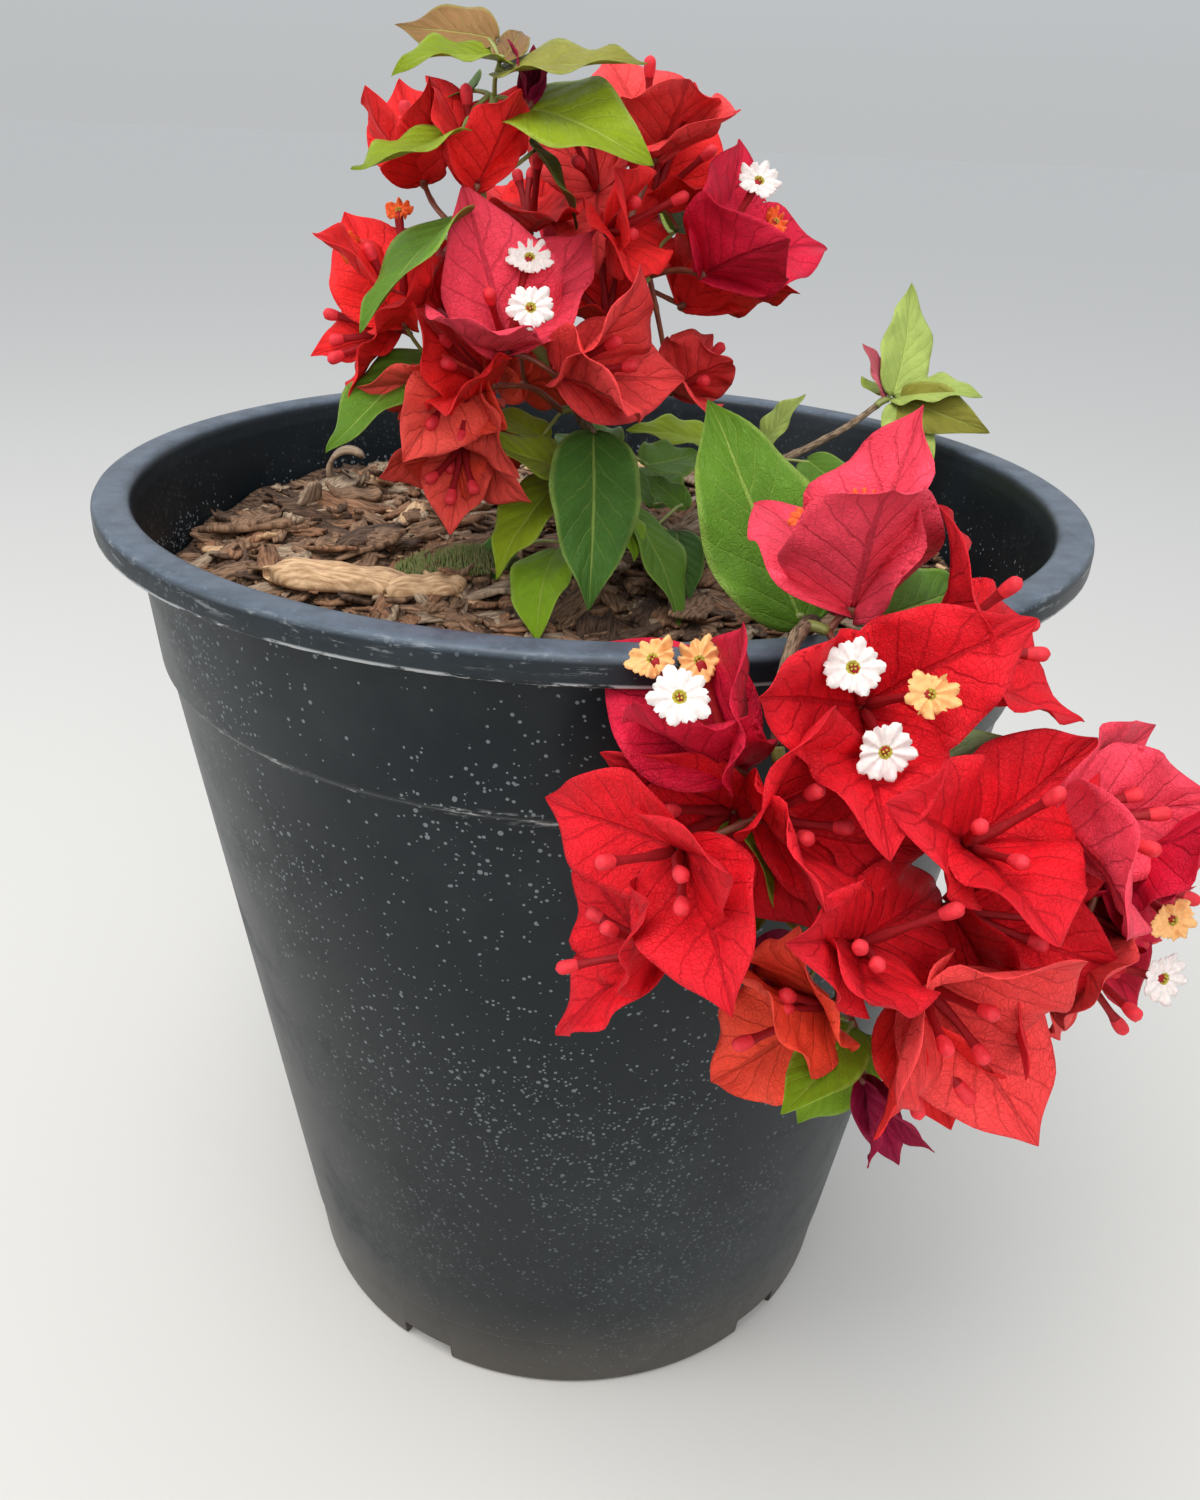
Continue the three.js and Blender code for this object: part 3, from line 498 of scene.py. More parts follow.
# %% Mulch: height rule and bed
FOOT = np.array([26.0, 4.0, 272.0])
PAD_RADIUS, PAD_BLEND = 13, 2.5
GAP = 0.3
MULCH_LEVEL, MULCH_SLOPE, MULCH_HEAP, MULCH_SPREAD, MULCH_LUMP = 264, (-0.04, 0.065), 7, 75, 2.2
LUMPS_ACROSS, LUMPS_ALONG = (0.11, 0.05), (-0.04, 0.13)
BED_RINGS, BED_STEPS, CRUMB = 90, 240, 1.3


def mulch_height(x, y):
    heap = MULCH_HEAP * np.exp(-(x * x + y * y) / MULCH_SPREAD ** 2)
    lump = (MULCH_LUMP * np.sin(LUMPS_ACROSS[0] * x + LUMPS_ACROSS[1] * y)
            * np.cos(LUMPS_ALONG[0] * x + LUMPS_ALONG[1] * y))
    open_ground = MULCH_LEVEL + MULCH_SLOPE[0] * x + MULCH_SLOPE[1] * y + heap + lump
    away = np.hypot(x - FOOT[0], y - FOOT[1])
    blend = smoothstep(away, PAD_RADIUS, PAD_BLEND * PAD_RADIUS)
    return (FOOT[2] - GAP) * (1 - blend) + open_ground * blend


wall_radius = float(inner_radius(MULCH_LEVEL)) - GAP
reach, angle = np.meshgrid(np.linspace(0.004, 1, BED_RINGS),
                           np.arange(BED_STEPS) * 2 * np.pi / BED_STEPS,
                           indexing="ij")
bed_x, bed_y = wall_radius * reach * np.cos(angle), wall_radius * reach * np.sin(angle)
crumbs = CRUMB * (random(bed_x * 0.731 + bed_y * 1.317) - 0.5) * smoothstep(reach, 1.0, 0.97)
bed_top = np.stack([bed_x, bed_y, mulch_height(bed_x, bed_y) + crumbs], -1)
lower = [(float(inner_radius(z)) - GAP, max(z, FLOOR_THICK + GAP))
         for z in (SHOULDER_Z, FOOT_LINE, FLOOR_THICK)]
lower.append((0.5, FLOOR_THICK + GAP))
bed_side = swept(np.array(lower, float), BED_STEPS)
bed = Pile()
bed_points = np.concatenate([bed_top, bed_side]).reshape(-1, 3)
bed.add(bed_points, grid_faces(BED_RINGS + len(lower), BED_STEPS, closed=True))
print(f"mulch surface from {bed_top[..., 2].min():.1f} to {bed_top[..., 2].max():.1f} mm")

# %% [markdown]
# Bark and wood share one grain: long fibres that run one way, darker in the gaps between them. The
# group stretches noise along the piece, so a chip, a strip or a stem only has to say which way its
# own length runs.

# %% Grain: a shader group for chips and stems
grain_group, ins, outs = new_group("wood_grain", {
    "Place": (VECTOR, None), "Along": (FLOAT, 1.0), "Across": (FLOAT, 8.0),
    "Dark": (COLOUR, (0.05, 0.03, 0.02, 1)), "Light": (COLOUR, (0.3, 0.2, 0.12, 1)),
}, {"Colour": COLOUR, "Height": FLOAT})
stretch = node(grain_group, "ShaderNodeCombineXYZ", {
    "X": ins.outputs["Along"], "Y": ins.outputs["Across"], "Z": ins.outputs["Across"]})
fibres_place = node(grain_group, "ShaderNodeVectorMath",
                    {0: ins.outputs["Place"], 1: stretch.outputs[0]},
                    operation="MULTIPLY")
fibres = node(grain_group, "ShaderNodeTexNoise", {
    "Vector": fibres_place.outputs[0], "Scale": 1.0, "Detail": 7.0, "Roughness": 0.62,
    "Distortion": 0.4})
blotches = node(grain_group, "ShaderNodeTexNoise", {
    "Vector": ins.outputs["Place"], "Scale": ins.outputs["Along"], "Detail": 2.0})
share = maths(grain_group, "MULTIPLY_ADD", blotches.outputs["Fac"], 0.35,
              ramp(grain_group, fibres.outputs["Fac"], 0.34, 0.66, -0.15, 0.8))
grain_group.links.new(blend_colour(grain_group, share, ins.outputs["Dark"], ins.outputs["Light"]),
                      outs.inputs["Colour"])
grain_group.links.new(fibres.outputs["Fac"], outs.inputs["Height"])


def flat_place(tree):
    return node(tree, "ShaderNodeUVMap", uv_map="blade").outputs["UV"]


def grained(made, place, fibres, dark, light, bump, depth):
    """Lays the grain on a finish; fibres are how often they repeat along and across, per metre."""
    material, tree, shader = made
    grain = placed(tree, grain_group, {"Place": place, "Along": fibres[0], "Across": fibres[1],
                                       "Dark": (*dark, 1), "Light": (*light, 1)})
    tree.links.new(grain.outputs["Colour"], shader.inputs["Base Color"])
    if bump > 0:
        relief(tree, shader, grain.outputs["Height"], bump, depth)
    return material


def bark_finish(name, dark, light, fibres=(170.0, 1100.0), depth=0.0006):
    made = finish(name, light, 0.9, Specular_IOR_Level=0.25)
    return grained(made, flat_place(made[1]), fibres, dark, light, 0.7, depth)


print("grain group sockets:", len(grain_group.interface.items_tree))

# %% Mulch: finishes of the chips and the bed
# The darkest and the lightest tint of each kind of chip.
CHIP_TINTS = {
    "bark_brown": ((0.075, 0.040, 0.022), (0.33, 0.195, 0.115)),
    "bark_dark": ((0.030, 0.017, 0.011), (0.145, 0.085, 0.053)),
    "bark_red": ((0.085, 0.040, 0.020), (0.36, 0.185, 0.10)),
    "bark_grey": ((0.14, 0.095, 0.062), (0.46, 0.335, 0.225)),
    "wood_pale": ((0.36, 0.20, 0.095), (0.74, 0.50, 0.29)),
}
chip_finishes = [bark_finish(name, *tints) for name, tints in CHIP_TINTS.items()]
made = finish("mulch_crumbs", (0.06, 0.035, 0.022), 0.95, Specular_IOR_Level=0.2)
place = node(made[1], "ShaderNodeTexCoord").outputs["Object"]
bed_paint = grained(made, place, (420.0, 700.0), (0.018, 0.010, 0.007), (0.17, 0.10, 0.062), 0.9,
                    0.0012)
bed.build("mulch_bed", [bed_paint], "mulch", ["mulch"])
print("bark finishes:", len(chip_finishes))

# %% [markdown]
# A bark chip is a torn flake: a thin slab with ragged ends, bowed across its width. Each is a small
# grid of points, top and bottom, with its outline broken by the seeded rule. Thousands of flakes of
# every size, laid nearly flat and turned every way, give the surface its depth. The slab is closed
# by the same few lines that close the strips, the split wood and the leaves further on.

# %% A closed slab from two sheets
def shell_of(rows, columns):
    """Faces of a closed slab: a grid on top, its mirror below, and a band round the edge."""
    count = rows * columns
    top = grid_faces(rows, columns)
    number = np.arange(count).reshape(rows, columns)
    ring = np.concatenate([number[0, :-1], number[:-1, -1], number[-1, :0:-1], number[:0:-1, 0]])
    after = np.roll(ring, -1)
    band = np.stack([ring, ring + count, after + count, after], -1)
    return np.concatenate([top, top[:, ::-1] + count, band])


def slab(top, bottom, flat_x, flat_y):
    """Points, faces and flat coordinates of a slab between two sheets of the same size."""
    flat = np.stack([flat_x, flat_y], -1).reshape(-1, 2)
    points = np.concatenate([top.reshape(-1, 3), bottom.reshape(-1, 3)])
    return points, shell_of(*top.shape[:2]), np.concatenate([flat, flat])


print("faces of a slab of 2 by 2 points:", len(shell_of(2, 2)))

# %% Mulch: one flake
CHIP_ROWS, CHIP_COLUMNS = 6, 4


def flake(length, width, thick, bow, curl, seed):
    """Points, faces and flat coordinates of one chip, along X with its middle at the origin."""
    u, v = np.meshgrid(np.linspace(-1, 1, CHIP_ROWS), np.linspace(-1, 1, CHIP_COLUMNS),
                       indexing="ij")
    ragged = 1 + 0.38 * (random(seed + v * 3.7 + np.sign(u)) - 0.5) * np.abs(u) ** 3
    narrow = 1 - 0.45 * np.abs(u) ** 3 + 0.3 * (random(seed * 1.3 + u * 2.9 + np.sign(v)) - 0.5)
    x = u * ragged * length / 2
    y = v * narrow * width / 2
    torn = 0.4 * thick * random(seed + u + 9 * v)
    lift = bow * width * (v * v - 0.4) + curl * length * (u * u - 0.35) + torn
    edge = np.where((np.abs(u) == 1) | (np.abs(v) == 1), 0.25, 0.5) * thick
    sheets = [np.stack([x, y, lift + side * edge], -1) for side in (1, -1)]
    return slab(*sheets, x * MM, (y + 37 * random(seed)) * MM)


def laid(points, spot, yaw, tilt, roll):
    """The points, tilted, turned and put down at a spot."""
    turn = (Matrix.Rotation(yaw, 3, "Z") @ Matrix.Rotation(tilt, 3, "Y")
            @ Matrix.Rotation(roll, 3, "X"))
    return points @ np.array(turn).T + spot


print("points in a flake:", 2 * CHIP_ROWS * CHIP_COLUMNS)

# %% [markdown]
# The flakes are laid in three passes, large, middle and small, and each pass covers more of the
# ground than the last. None crosses the wall of the pot, and only small ones lie on the pad round
# the foot of the plant. The small flakes become a piece of their own, because all of them in one
# mesh would be too heavy to handle.

# %% Mulch: lay the flakes
# Each pass: its size, how many flakes, their lengths and widths, and how thick they are.
PASSES = (("large", 190, (17, 34), (6, 13), 2.6), ("middle", 1050, (9, 19), (3.5, 8), 1.7),
          ("small", 1700, (4, 9), (1.8, 4), 1.1))
FLAKE_BOW, FLAKE_CURL = (-0.12, 0.22), (-0.05, 0.1)
FLAKE_YAW, FLAKE_TILT, FLAKE_ROLL = (0, 6.28), (-0.26, 0.26), (-0.4, 0.4)
KIND_LIMITS = (0.42, 0.62, 0.82, 0.97)
FOOT_ROOM = 9
chips, small_chips = Pile(), Pile()
seed = 0
for label, amount, lengths, widths, thick in PASSES:
    for _ in range(amount):
        seed += 1
        length = between(seed + 0.1, *lengths)
        width = between(seed + 0.2, *widths)
        away = (wall_radius - 0.5 * length) * math.sqrt(random(seed + 0.3))
        angle = between(seed + 0.4, 0, 2 * math.pi)
        x, y = away * math.cos(angle), away * math.sin(angle)
        if label != "small" and math.hypot(x - FOOT[0], y - FOOT[1]) < FOOT_ROOM + length / 2:
            continue
        points, faces, flat = flake(
            length, width, thick * between(seed + 0.5, 0.6, 1.3), between(seed + 0.6, *FLAKE_BOW),
            between(seed + 0.7, *FLAKE_CURL), seed)
        spot = np.array([x, y, float(mulch_height(x, y)) + thick * between(seed + 0.8, 0.1, 0.9)])
        points = laid(points, spot, between(seed + 0.9, *FLAKE_YAW),
                      between(seed + 1.1, *FLAKE_TILT),
                      between(seed + 1.2, *FLAKE_ROLL))
        paint = int(np.searchsorted(KIND_LIMITS, random(seed + 1.3)))
        pile = small_chips if label == "small" else chips
        pile.add(points, faces, flat, paint)
small_chips.build("small_bark_chips", chip_finishes, "mulch", ["mulch"])
print("flakes laid:", seed)

# %% [markdown]
# Two kinds of piece stand out of the chips. Thin strips of bark have dried into curls: each is a
# sheet bent round an arc and tipped on its side. Split wood is pale, thick and lumpy, with a round
# back and ragged ends; the largest lies at the left, where it catches the eye.

# %% Mulch: curled strips
# A strip's place, arc length, width, radius, yaw, tilt and the number of its finish.
CURLS = (((-92, 66), 34, 9, 6.5, 0.2, 1.5, 3), ((-74, 80), 24, 10, 9, 0.9, -0.6, 0),
         ((-106, 40), 22, 9, 10, 2.6, 0.5, 3), ((-50, 88), 26, 8, 8, -0.3, 1.2, 2),
         ((-84, 46), 20, 9, 12, 0.5, 0.2, 0))
CURL_THICK, CURL_ROLL = 1.5, 0.15
CURL_ROWS, CURL_COLUMNS = 22, 4


def curled_strip(arc_length, width, radius, seed):
    """A strip of bark rolled round its own width, like a shaving, standing on its bent back."""
    s, v = np.meshgrid(np.linspace(-0.5, 0.5, CURL_ROWS), np.linspace(-0.5, 0.5, CURL_COLUMNS),
                       indexing="ij")
    bend = s * arc_length / radius
    loose = radius * (1 + 0.25 * np.abs(s) + 0.06 * np.sin(9 * s + seed))
    sheets = []
    for thick in (CURL_THICK / 2, -CURL_THICK / 2):
        r = loose + thick * (1 - 0.6 * (np.abs(s) > 0.49))
        wide = v * width * (1 - 0.5 * np.abs(2 * s) ** 3)
        sheets.append(np.stack([r * np.sin(bend), wide, radius - r * np.cos(bend)], -1))
    return slab(*sheets, s * arc_length * MM, v * width * MM)


for k, ((x, y), arc_length, width, radius, yaw, tilt, paint) in enumerate(CURLS):
    points, faces, flat = curled_strip(arc_length, width, radius, k)
    points = laid(points - [0, 0, radius], np.zeros(3), yaw, tilt, CURL_ROLL)
    spot = np.array([x, y, float(mulch_height(x, y)) + CURL_THICK - points[:, 2].min()])
    chips.add(points + spot, faces, flat, paint)
print("curled strips:", len(CURLS))

# %% Mulch: split wood
# A piece's place, length, width, thickness, yaw and the number of its finish.
SPLIT_WOOD = (((-78, -32), 42, 15, 8.5, -0.12, 4), ((-51, -35), 24, 12, 6.0, 0.35, 4),
              ((-64, 52), 30, 9, 3.0, 0.2, 3), ((60, 70), 30, 10, 3.5, 2.2, 4),
              ((-20, 98), 26, 8, 3, 0.4, 4))
LUMP_ROWS, LUMP_COLUMNS = 44, 15
LUMP_TILT, LUMP_ROLL = 0.03, 0.08
for k, ((x, y), length, width, thick, yaw, paint) in enumerate(SPLIT_WOOD):
    u, v = np.meshgrid(np.linspace(-1, 1, LUMP_ROWS), np.linspace(-1, 1, LUMP_COLUMNS),
                       indexing="ij")
    end = 1 - np.abs(u) ** 5 * (0.5 + 0.3 * np.sin(5 * v + k)) - 0.12 * np.sin(4.1 * u + 2 * k)
    flat_x, flat_y = u * length / 2 + 1.2 * np.sin(3 * v + k), v * end * width / 2
    rough = (0.35 * np.sin(7 * v + 2 * u + k) + 0.25 * np.sin(17 * v + 3 * u)
             + 0.3 * np.sin(9 * u + 4 * v))
    body = (thick * 0.5 * np.sqrt(np.clip(1.02 - np.abs(v) ** 2.6, 0.02, 1))
            * (1 - 0.6 * np.abs(u) ** 6))
    sheets = [np.stack([flat_x, flat_y, level], -1) for level in (body + rough, -0.6 * body)]
    points, faces, flat = slab(*sheets, flat_x * MM, flat_y * MM)
    spot = np.array([x, y, float(mulch_height(x, y)) + 0.55 * thick])
    chips.add(laid(points, spot, yaw, LUMP_TILT, LUMP_ROLL), faces, flat, paint)
chips.build("bark_chips", chip_finishes, "mulch", ["mulch"])

# %% [markdown]
# A cushion of moss grows on the damp bark by the pale chip. Seen close it is hundreds of short
# pointed shoots, so it is built of slim three-sided spikes that lean out from the middle.

# %% Mulch: moss
MOSS_PLACE, MOSS_REACH, MOSS_SHOOTS = (-43, -14), (20, 9), 1300
SPIKE_TALL, SPIKE_RADIUS, SPIKE_LEAN, SPIKE_FOOT = (2.2, 4.6), 0.55, 0.9, 2.6
SPIKE_FACES = [[0, 1, 3, 3], [1, 2, 3, 3], [2, 0, 3, 3], [2, 1, 0, 0]]
moss = Pile()
for k in range(MOSS_SHOOTS):
    angle, away = between(k + 0.15, 0, 2 * math.pi), math.sqrt(random(k + 0.35))
    x = MOSS_PLACE[0] + MOSS_REACH[0] * away * math.cos(angle)
    y = MOSS_PLACE[1] + MOSS_REACH[1] * away * math.sin(angle)
    tall = between(k + 0.55, *SPIKE_TALL) * (1.2 - 0.6 * away)
    base = np.array([x, y, float(mulch_height(x, y)) + SPIKE_FOOT])
    corners = [base + SPIKE_RADIUS * np.array([math.cos(t), math.sin(t), 0])
               for t in (0.3, 2.4, 4.5)]
    lean = np.array([between(k + 0.75, -1, 1), between(k + 0.95, -1, 1), 0]) * SPIKE_LEAN
    points = np.array(corners + [base + lean + [0, 0, tall]])
    moss.add(points, SPIKE_FACES, None, int(random(k + 0.05) > 0.5))
moss_finishes = [finish("moss_green", (0.15, 0.20, 0.05), 0.95)[0],
                 finish("moss_olive", (0.24, 0.23, 0.09), 0.95)[0]]
moss.build("moss", moss_finishes, "mulch", ["mulch"])

# %% [markdown]
# A stem is a tube drawn along a smooth curve. The curve passes through its points evenly, without
# loops, because each stretch is timed by the square root of its length. A twist-free frame carries
# the tube's ring along it, and the ring's radius can change with every step.

# %% Curves and tubes
def smooth_path(points):
    """A function of 0 to 1 that runs through all the points, as the solids' own curves do."""
    points = np.asarray(points, float)
    padded = np.concatenate([[2 * points[0] - points[1]], points, [2 * points[-1] - points[-2]]])

    def at(t):
        place = np.clip(t, 0, 1) * (len(points) - 1)
        k = min(int(place), len(points) - 2)
        w = place - k
        p0, p1, p2, p3 = padded[k:k + 4]
        d0, d1, d2 = (max(np.linalg.norm(b - a) ** 0.5, 1e-4)
                      for a, b in ((p0, p1), (p1, p2), (p2, p3)))
        m1 = ((p1 - p0) / d0 - (p2 - p0) / (d0 + d1) + (p2 - p1) / d1) * d1
        m2 = ((p2 - p1) / d1 - (p3 - p1) / (d1 + d2) + (p3 - p2) / d2) * d1
        return (p1 + m1 * w + (-3 * p1 + 3 * p2 - 2 * m1 - m2) * w ** 2
                + (2 * p1 - 2 * p2 + m1 + m2) * w ** 3)
    return at


def even_points(points, count):
    """Points at equal distances along the smooth path."""
    at = smooth_path(points)
    dense = np.array([at(t) for t in np.linspace(0, 1, 30 * len(points))])
    run = np.concatenate([[0], np.cumsum(np.linalg.norm(np.diff(dense, axis=0), axis=1))])
    wanted = np.linspace(0, run[-1], count)
    return np.stack([np.interp(wanted, run, dense[:, k]) for k in range(3)], 1), run[-1]


def tube(path, radii, sides, relief_at=None):
    """A closed tube's points, faces and flat coordinates; relief_at scales each ring's radius."""
    along = np.gradient(path, axis=0)
    along /= np.linalg.norm(along, axis=1)[:, None]
    first = np.cross(along[0], [0, 0, 1.0] if abs(along[0][2]) < 0.9 else [1.0, 0, 0])
    sideways = [unit(first)]
    for k in range(1, len(path)):
        carried = sideways[-1] - along[k] * np.dot(sideways[-1], along[k])
        sideways.append(unit(carried))
    sideways = np.array(sideways)
    upwards = np.cross(along, sideways)
    turn = np.arange(sides) * 2 * np.pi / sides
    radius = np.asarray(radii)[:, None] * np.ones(sides)
    if relief_at is not None:
        radius = radius * relief_at
    ring = (path[:, None] + sideways[:, None] * (radius * np.cos(turn))[..., None]
            + upwards[:, None] * (radius * np.sin(turn))[..., None])
    rows = len(path)
    points = np.concatenate([ring.reshape(-1, 3), path[:1], path[-1:]])
    faces = grid_faces(rows, sides, closed=True)
    ends = []
    for k in range(sides):
        after = (k + 1) % sides
        ends.append([after, k, rows * sides, rows * sides])
        ends.append([(rows - 1) * sides + k, (rows - 1) * sides + after, rows * sides + 1,
                     rows * sides + 1])
    run = np.concatenate([[0], np.cumsum(np.linalg.norm(np.diff(path, axis=0), axis=1))])
    girth = radius * np.minimum(turn, 2 * np.pi - turn)
    flat = np.stack([run[:, None] + 0 * turn, girth], -1).reshape(-1, 2)
    flat = np.concatenate([flat, flat[:1], flat[-1:]]) * MM
    return points, np.concatenate([faces, ends]), flat


print("a test path is", round(even_points([[0, 0, 0], [10, 0, 5], [20, 0, 0]], 5)[1], 2), "mm long")

# %% [markdown]
# These are the stems, from foot to tip, at the same places as the solids: woody ones that rise or
# run over the rim, and young green ones that carry the crown and hang down the front.

# %% Stems: places
LIMBS = {
    "stem_left": ("wood", (2.2, 1.7), [[25, 4, 280], [15, -1, 288], [8, -8, 298], [7, -13, 307],
                                       [-2, -20, 316], [-8, -28, 328]]),
    "bough_crown": ("green", (1.7, 1.1), [[-8, -28, 328], [-15, -31, 338], [-26, -35, 352],
                                          [-33, -37, 378], [-31, -40, 398]]),
    "bough_right": ("green", (1.4, 1.1), [[-8, -28, 328], [-4, -25, 337], [3, -22, 348],
                                          [9, -21, 357]]),
    "bough_back": ("green", (1.4, 1.0), [[-8, -28, 328], [-11, -18, 338], [-16, -8, 350]]),
    "stem_right": ("wood", (1.9, 1.4), [[25, 4, 280], [33, -6, 282], [44, -48, 285], [51, -94, 286],
                                        [50, -118, 297], [45, -136, 303.5], [40, -149, 304],
                                        [37, -157, 297], [37, -160, 286]]),
    "bough_front": ("green", (1.4, 1.1), [[37, -160, 286], [40, -163, 274], [45, -165, 262],
                                          [50, -169, 248], [54, -173, 236]]),
    "bough_side": ("green", (1.3, 1.0), [[40, -163, 274], [50, -160, 272], [62, -158, 270]]),
    "stem_back": ("wood", (1.6, 1.1), [[25, 4, 280], [36, 18, 284], [58, 40, 293], [75, 52, 298],
                                       [92, 62, 305], [102, 68, 311]]),
}
TRUNK = dict(flare=5.2, waist=3.4, top=2.9, height=9, lean=-1, flare_share=0.34)
print("stems:", len(LIMBS))

# %% [markdown]
# Old bougainvillea wood is grey-brown and corky: long ridges that split and join, crossed by fine
# cracks, with a swollen ring wherever a leaf once grew. The relief is in the mesh itself, from
# ridges that wander round the stem. Young stems are green and smooth, with the same rings.

# %% Stems: bark relief and joints
RING_SPACING, RING_REACH, RING_HEIGHT = 14.0, 1.1, 0.16


def bark_relief(length, rows, sides, depth, seed):
    """How much each point stands out: ridges, cracks and the swollen rings of old leaves."""
    run = np.linspace(0, length, rows)[:, None]
    turn = np.arange(sides) * 2 * np.pi / sides
    wander = 0.8 * np.sin(run * 0.21 + seed) + 0.5 * np.sin(run * 0.57 + 2 * seed)
    ridges = np.abs(np.sin(2.5 * (turn + wander))) - 0.5
    grit = random(seed + np.round(run * 1.7) * 1.31 + turn * 7.7) - 0.5
    place = (run + 3 * seed) % RING_SPACING - RING_SPACING / 2
    ring = np.exp(-(place / RING_REACH) ** 2) * (1 + 0.5 * np.cos(turn + seed))
    return 1 + depth * (0.7 * ridges + 0.5 * grit) + RING_HEIGHT * ring


print("rings every", RING_SPACING, "mm")

# %% Stems: tubes and trunk
# The depth of the bark and the sides of the tube, for each kind of stem.
BARK = {"wood": (0.16, 20), "green": (0.03, 14)}
ROWS_PER_MM = 1.3
TRUNK_ROWS, TRUNK_SIDES, TRUNK_BARK, TRUNK_SEED = 26, 32, 0.14, 9
stems = {"wood": Pile(), "green": Pile()}
stem_nodes = {"wood": ["trunk"], "green": []}
for number, (name, (kind, (first, last), path)) in enumerate(LIMBS.items()):
    length = even_points(path, 2)[1]
    rows = int(length * ROWS_PER_MM)
    points, _ = even_points(path, rows)
    depth, sides = BARK[kind]
    rings = bark_relief(length, rows, sides, depth, number + 1)
    stems[kind].add(*tube(points, np.linspace(first, last, rows), sides, rings))
    stem_nodes[kind].append(name)

t = np.linspace(0, 1, TRUNK_ROWS)
trunk_path = FOOT + np.stack([TRUNK["lean"] * t, 0 * t, TRUNK["height"] * t], -1)
share = TRUNK["flare_share"]
trunk_radii = np.where(
    t < share, TRUNK["flare"] + (TRUNK["waist"] - TRUNK["flare"]) * np.sqrt(t / share),
    TRUNK["waist"] + (TRUNK["top"] - TRUNK["waist"]) * (t - share) / (1 - share))
trunk_bark = bark_relief(TRUNK["height"], TRUNK_ROWS, TRUNK_SIDES, TRUNK_BARK, TRUNK_SEED)
stems["wood"].add(*tube(trunk_path, trunk_radii, TRUNK_SIDES, trunk_bark))
print("points of the stems:", {kind: pile.count for kind, pile in stems.items()})

# %% Stems: bark and green rind
RIND_FIBRES, RIND_DEPTH = (180.0, 1500.0), 0.0002
# A rind's own tint, its darkest and lightest tints, and the strength of its relief.
RINDS = {
    "green_rind": ((0.27, 0.33, 0.08), (0.20, 0.21, 0.05), (0.33, 0.40, 0.11), 0.25),
    "red_rind": ((0.20, 0.040, 0.028), (0.15, 0.030, 0.022), (0.25, 0.085, 0.035), 0.0),
}
bark_paint = bark_finish("stem_bark", (0.055, 0.034, 0.02), (0.34, 0.24, 0.15), (260.0, 2600.0),
                         0.0004)
rind_finishes = []
for name, (tint, dark, light, bump) in RINDS.items():
    made = finish(name, tint, 0.5, Subsurface_Weight=0.1, Subsurface_Scale=0.001)
    rind_finishes.append(grained(made, flat_place(made[1]), RIND_FIBRES, dark, light, bump,
                                 RIND_DEPTH))
stems["wood"].build("woody_stems", [bark_paint], "wood", stem_nodes["wood"])
stems["green"].build("green_stems", rind_finishes[:1], "green_stem", stem_nodes["green"])

# %% [markdown]
# Leaves and bracts are the same kind of thing: a thin blade with a keel along the middle, side
# veins that leave the keel and curve towards the tip, and a fine net between them. The veins are
# not a picture. A shader group works them out from two flat coordinates of each blade: how far a
# point is along it, and how far across it towards the margin.

# %% Veins: keel and side veins
vein_group, ins, outs = new_group("blade_veins", {
    "Flat": (VECTOR, None), "Pairs": (FLOAT, 6.0), "Slant": (FLOAT, 0.3),
    "Vein width": (FLOAT, 0.055),
    "Net scale": (FLOAT, 17.0), "Net width": (FLOAT, 0.05), "Side share": (FLOAT, 0.5),
}, {"Veins": FLOAT, "Net": FLOAT, "Margin": FLOAT, "Along": FLOAT, "Height": FLOAT})
flat = node(vein_group, "ShaderNodeSeparateXYZ", {"Vector": ins.outputs["Flat"]})
along, side = flat.outputs["X"], maths(vein_group, "SUBTRACT", flat.outputs["Y"], 0.5)
across = maths(vein_group, "MULTIPLY", maths(vein_group, "ABSOLUTE", side), 2.0)
waver = node(vein_group, "ShaderNodeTexNoise",
             {"Vector": ins.outputs["Flat"], "Scale": 9.0, "Detail": 2.0})
waver = maths(vein_group, "MULTIPLY_ADD", waver.outputs["Fac"], 0.05, -0.025)
keel = ramp(vein_group, maths(vein_group, "ADD", across, waver), 0.065, 0.02)
swing = maths(vein_group, "MULTIPLY", maths(vein_group, "POWER", across, 0.8), ins.outputs["Slant"])
stagger = maths(vein_group, "MULTIPLY", maths(vein_group, "GREATER_THAN", side, 0.0), 0.06)
phase = maths(vein_group, "ADD", maths(vein_group, "SUBTRACT", along, swing), stagger)
phase = maths(vein_group, "ADD", phase, waver)
phase = maths(vein_group, "MULTIPLY_ADD", phase, ins.outputs["Pairs"], 0.5)
phase = maths(vein_group, "FRACT", phase)
away = maths(vein_group, "ABSOLUTE", maths(vein_group, "SUBTRACT", phase, 0.5))
slimmer = ramp(vein_group, across, 0.0, 1.0, 1.3, 0.35)
thin = maths(vein_group, "MULTIPLY", ins.outputs["Vein width"], slimmer)
laterals = ramp(vein_group, maths(vein_group, "DIVIDE", away, thin), 1.4, 0.4)
laterals = maths(vein_group, "MULTIPLY", laterals, ramp(vein_group, across, 1.0, 0.82))
laterals = maths(vein_group, "MULTIPLY", laterals, ins.outputs["Side share"])
veins = maths(vein_group, "MAXIMUM", keel, laterals)
print("nodes for keel and side veins:", len(vein_group.nodes))

# %% [markdown]
# Between the veins runs a net of cells, and a finer one within it that crinkles the blade like
# crepe. The skin puffs up between the side veins and sinks along every vein, so the same values
# that draw the net also give the height for the relief.

